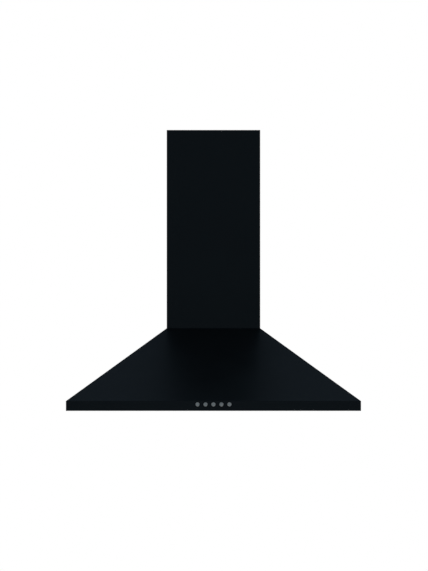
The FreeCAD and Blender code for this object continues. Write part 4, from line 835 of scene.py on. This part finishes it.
# How far out the floor begins to clear and is gone, in metres
FLOOR_FADE = (0.45, 1.2)
LAMPS_AIM = (0, -0.2, 0.2)
PHOTO_HEIGHT = 571
MM_A_PIXEL = 2.033
CAMERA_X = 1.1
CAMERA_Z = 254.9


def white_studio():
    """White where the camera looks, and in metal a dim room in front and white round behind."""
    world = bpy.data.worlds.new("white_studio")
    bpy.context.scene.world = world
    # Otherwise the soft light is also sampled for gloss, which has to mirror only the room
    world.cycles.sampling_method = "NONE"
    world.use_nodes = True
    tree = world.node_tree
    ray = add_node(tree, "ShaderNodeLightPath")
    direction = add_node(tree, "ShaderNodeTexCoord").outputs["Generated"]
    along = add_node(tree, "ShaderNodeSeparateXYZ", {"Vector": direction})
    aside = add_node(tree, "ShaderNodeMath", {0: along.outputs["X"]}, operation="ABSOLUTE")
    side = add_node(tree, "ShaderNodeMapRange", {"Value": aside.outputs[0], "From Min": 0.25,
                                                 "From Max": 1.0, "To Min": 0.0, "To Max": 0.15},
                    interpolation_type="SMOOTHSTEP")
    behind = add_node(tree, "ShaderNodeMapRange", {"Value": along.outputs["Y"], "From Min": 0.8,
                                                   "From Max": 0.97},
                      interpolation_type="SMOOTHSTEP")
    bright = add_node(tree, "ShaderNodeMath", {0: side.outputs["Result"],
                                               1: behind.outputs["Result"]}, operation="MAXIMUM")
    back = add_node(tree, "ShaderNodeMapRange", {"Value": along.outputs["Y"], "From Min": -0.3,
                                                 "From Max": 0.3})
    dim = add_node(tree, "ShaderNodeMix", {FACTOR: back.outputs["Result"], FIRST: ROOM_IN_FRONT,
                                           SECOND: ROOM_AT_BACK}, data_type="RGBA")
    room = add_node(tree, "ShaderNodeMix", {FACTOR: bright.outputs[0],
                                            FIRST: dim.outputs[MIXED], SECOND: WHITE},
                    data_type="RGBA")
    light = add_node(tree, "ShaderNodeMix", {FACTOR: ray.outputs["Is Glossy Ray"],
                                             FIRST: AMBIENT, SECOND: room.outputs[MIXED]},
                     data_type="RGBA")
    seen = add_node(tree, "ShaderNodeMath", {0: ray.outputs["Is Camera Ray"],
                                             1: ray.outputs["Is Transmission Ray"]},
                    operation="MAXIMUM")
    sight = add_node(tree, "ShaderNodeMix", {FACTOR: seen.outputs[0],
                                             FIRST: light.outputs[MIXED], SECOND: WHITE},
                     data_type="RGBA")
    tree.links.new(sight.outputs[MIXED], tree.nodes["Background"].inputs["Color"])


def pale_floor():
    """A plain floor below the hood that clears with distance, not seen from underneath."""
    bpy.ops.mesh.primitive_plane_add(size=4, location=(0, 0, FLOOR_Z))
    floor = bpy.context.object
    floor.name = "floor"
    place_in_mesh(floor)
    material, tree, shader, place = finish_of("pale_floor")
    shader.inputs["Base Color"].default_value = colour("#ebebea")
    shader.inputs["Roughness"].default_value = 0.9
    flat = add_node(tree, "ShaderNodeVectorMath", {0: place, 1: (1, 1, 0)}, operation="MULTIPLY")
    away = add_node(tree, "ShaderNodeVectorMath", {0: flat.outputs["Vector"]}, operation="LENGTH")
    begins, ends = FLOOR_FADE
    fade = add_node(tree, "ShaderNodeMapRange", {"Value": away.outputs["Value"],
                                                 "From Min": begins, "From Max": ends},
                    interpolation_type="SMOOTHSTEP")
    under = add_node(tree, "ShaderNodeNewGeometry").outputs["Backfacing"]
    gone = add_node(tree, "ShaderNodeMath", {0: fade.outputs["Result"], 1: under},
                    operation="MAXIMUM")
    clear = add_node(tree, "ShaderNodeBsdfTransparent")
    both = add_node(tree, "ShaderNodeMixShader", {0: gone.outputs[0], 1: shader.outputs["BSDF"],
                                                  2: clear.outputs["BSDF"]})
    tree.links.new(both.outputs["Shader"], tree.nodes["Material Output"].inputs["Surface"])
    dress(floor, material)


def soft_lamp(name, place, size, watts):
    """A square diffuser that lights the hood without showing in its gloss."""
    bpy.ops.object.light_add(type="AREA", location=place)
    lamp = bpy.context.object
    lamp.name = name
    lamp.data.size = size
    lamp.data.energy = watts
    aim = Vector(LAMPS_AIM) - Vector(place)
    lamp.rotation_euler = aim.to_track_quat("-Z", "Y").to_euler()
    lamp.visible_glossy = False


def straight_on_camera():
    """Level and square to the front, with no perspective."""
    bpy.ops.object.camera_add(location=(CAMERA_X * MM, -4, CAMERA_Z * MM),
                              rotation=(math.pi / 2, 0, 0))
    camera = bpy.context.object
    camera.data.type = "ORTHO"
    camera.data.ortho_scale = PHOTO_HEIGHT * MM_A_PIXEL * MM
    camera.data.clip_end = 50
    bpy.context.scene.camera = camera


bpy.context.scene.view_settings.view_transform = "Standard"
white_studio()
pale_floor()
soft_lamp("key_lamp", (-1.8, -2.4, 2.2), 1.8, 52)
soft_lamp("fill_lamp", (2.4, -1.6, 1.0), 1.8, 18)
soft_lamp("low_lamp", (0.3, -1.5, -0.6), 1.2, 8)
straight_on_camera()
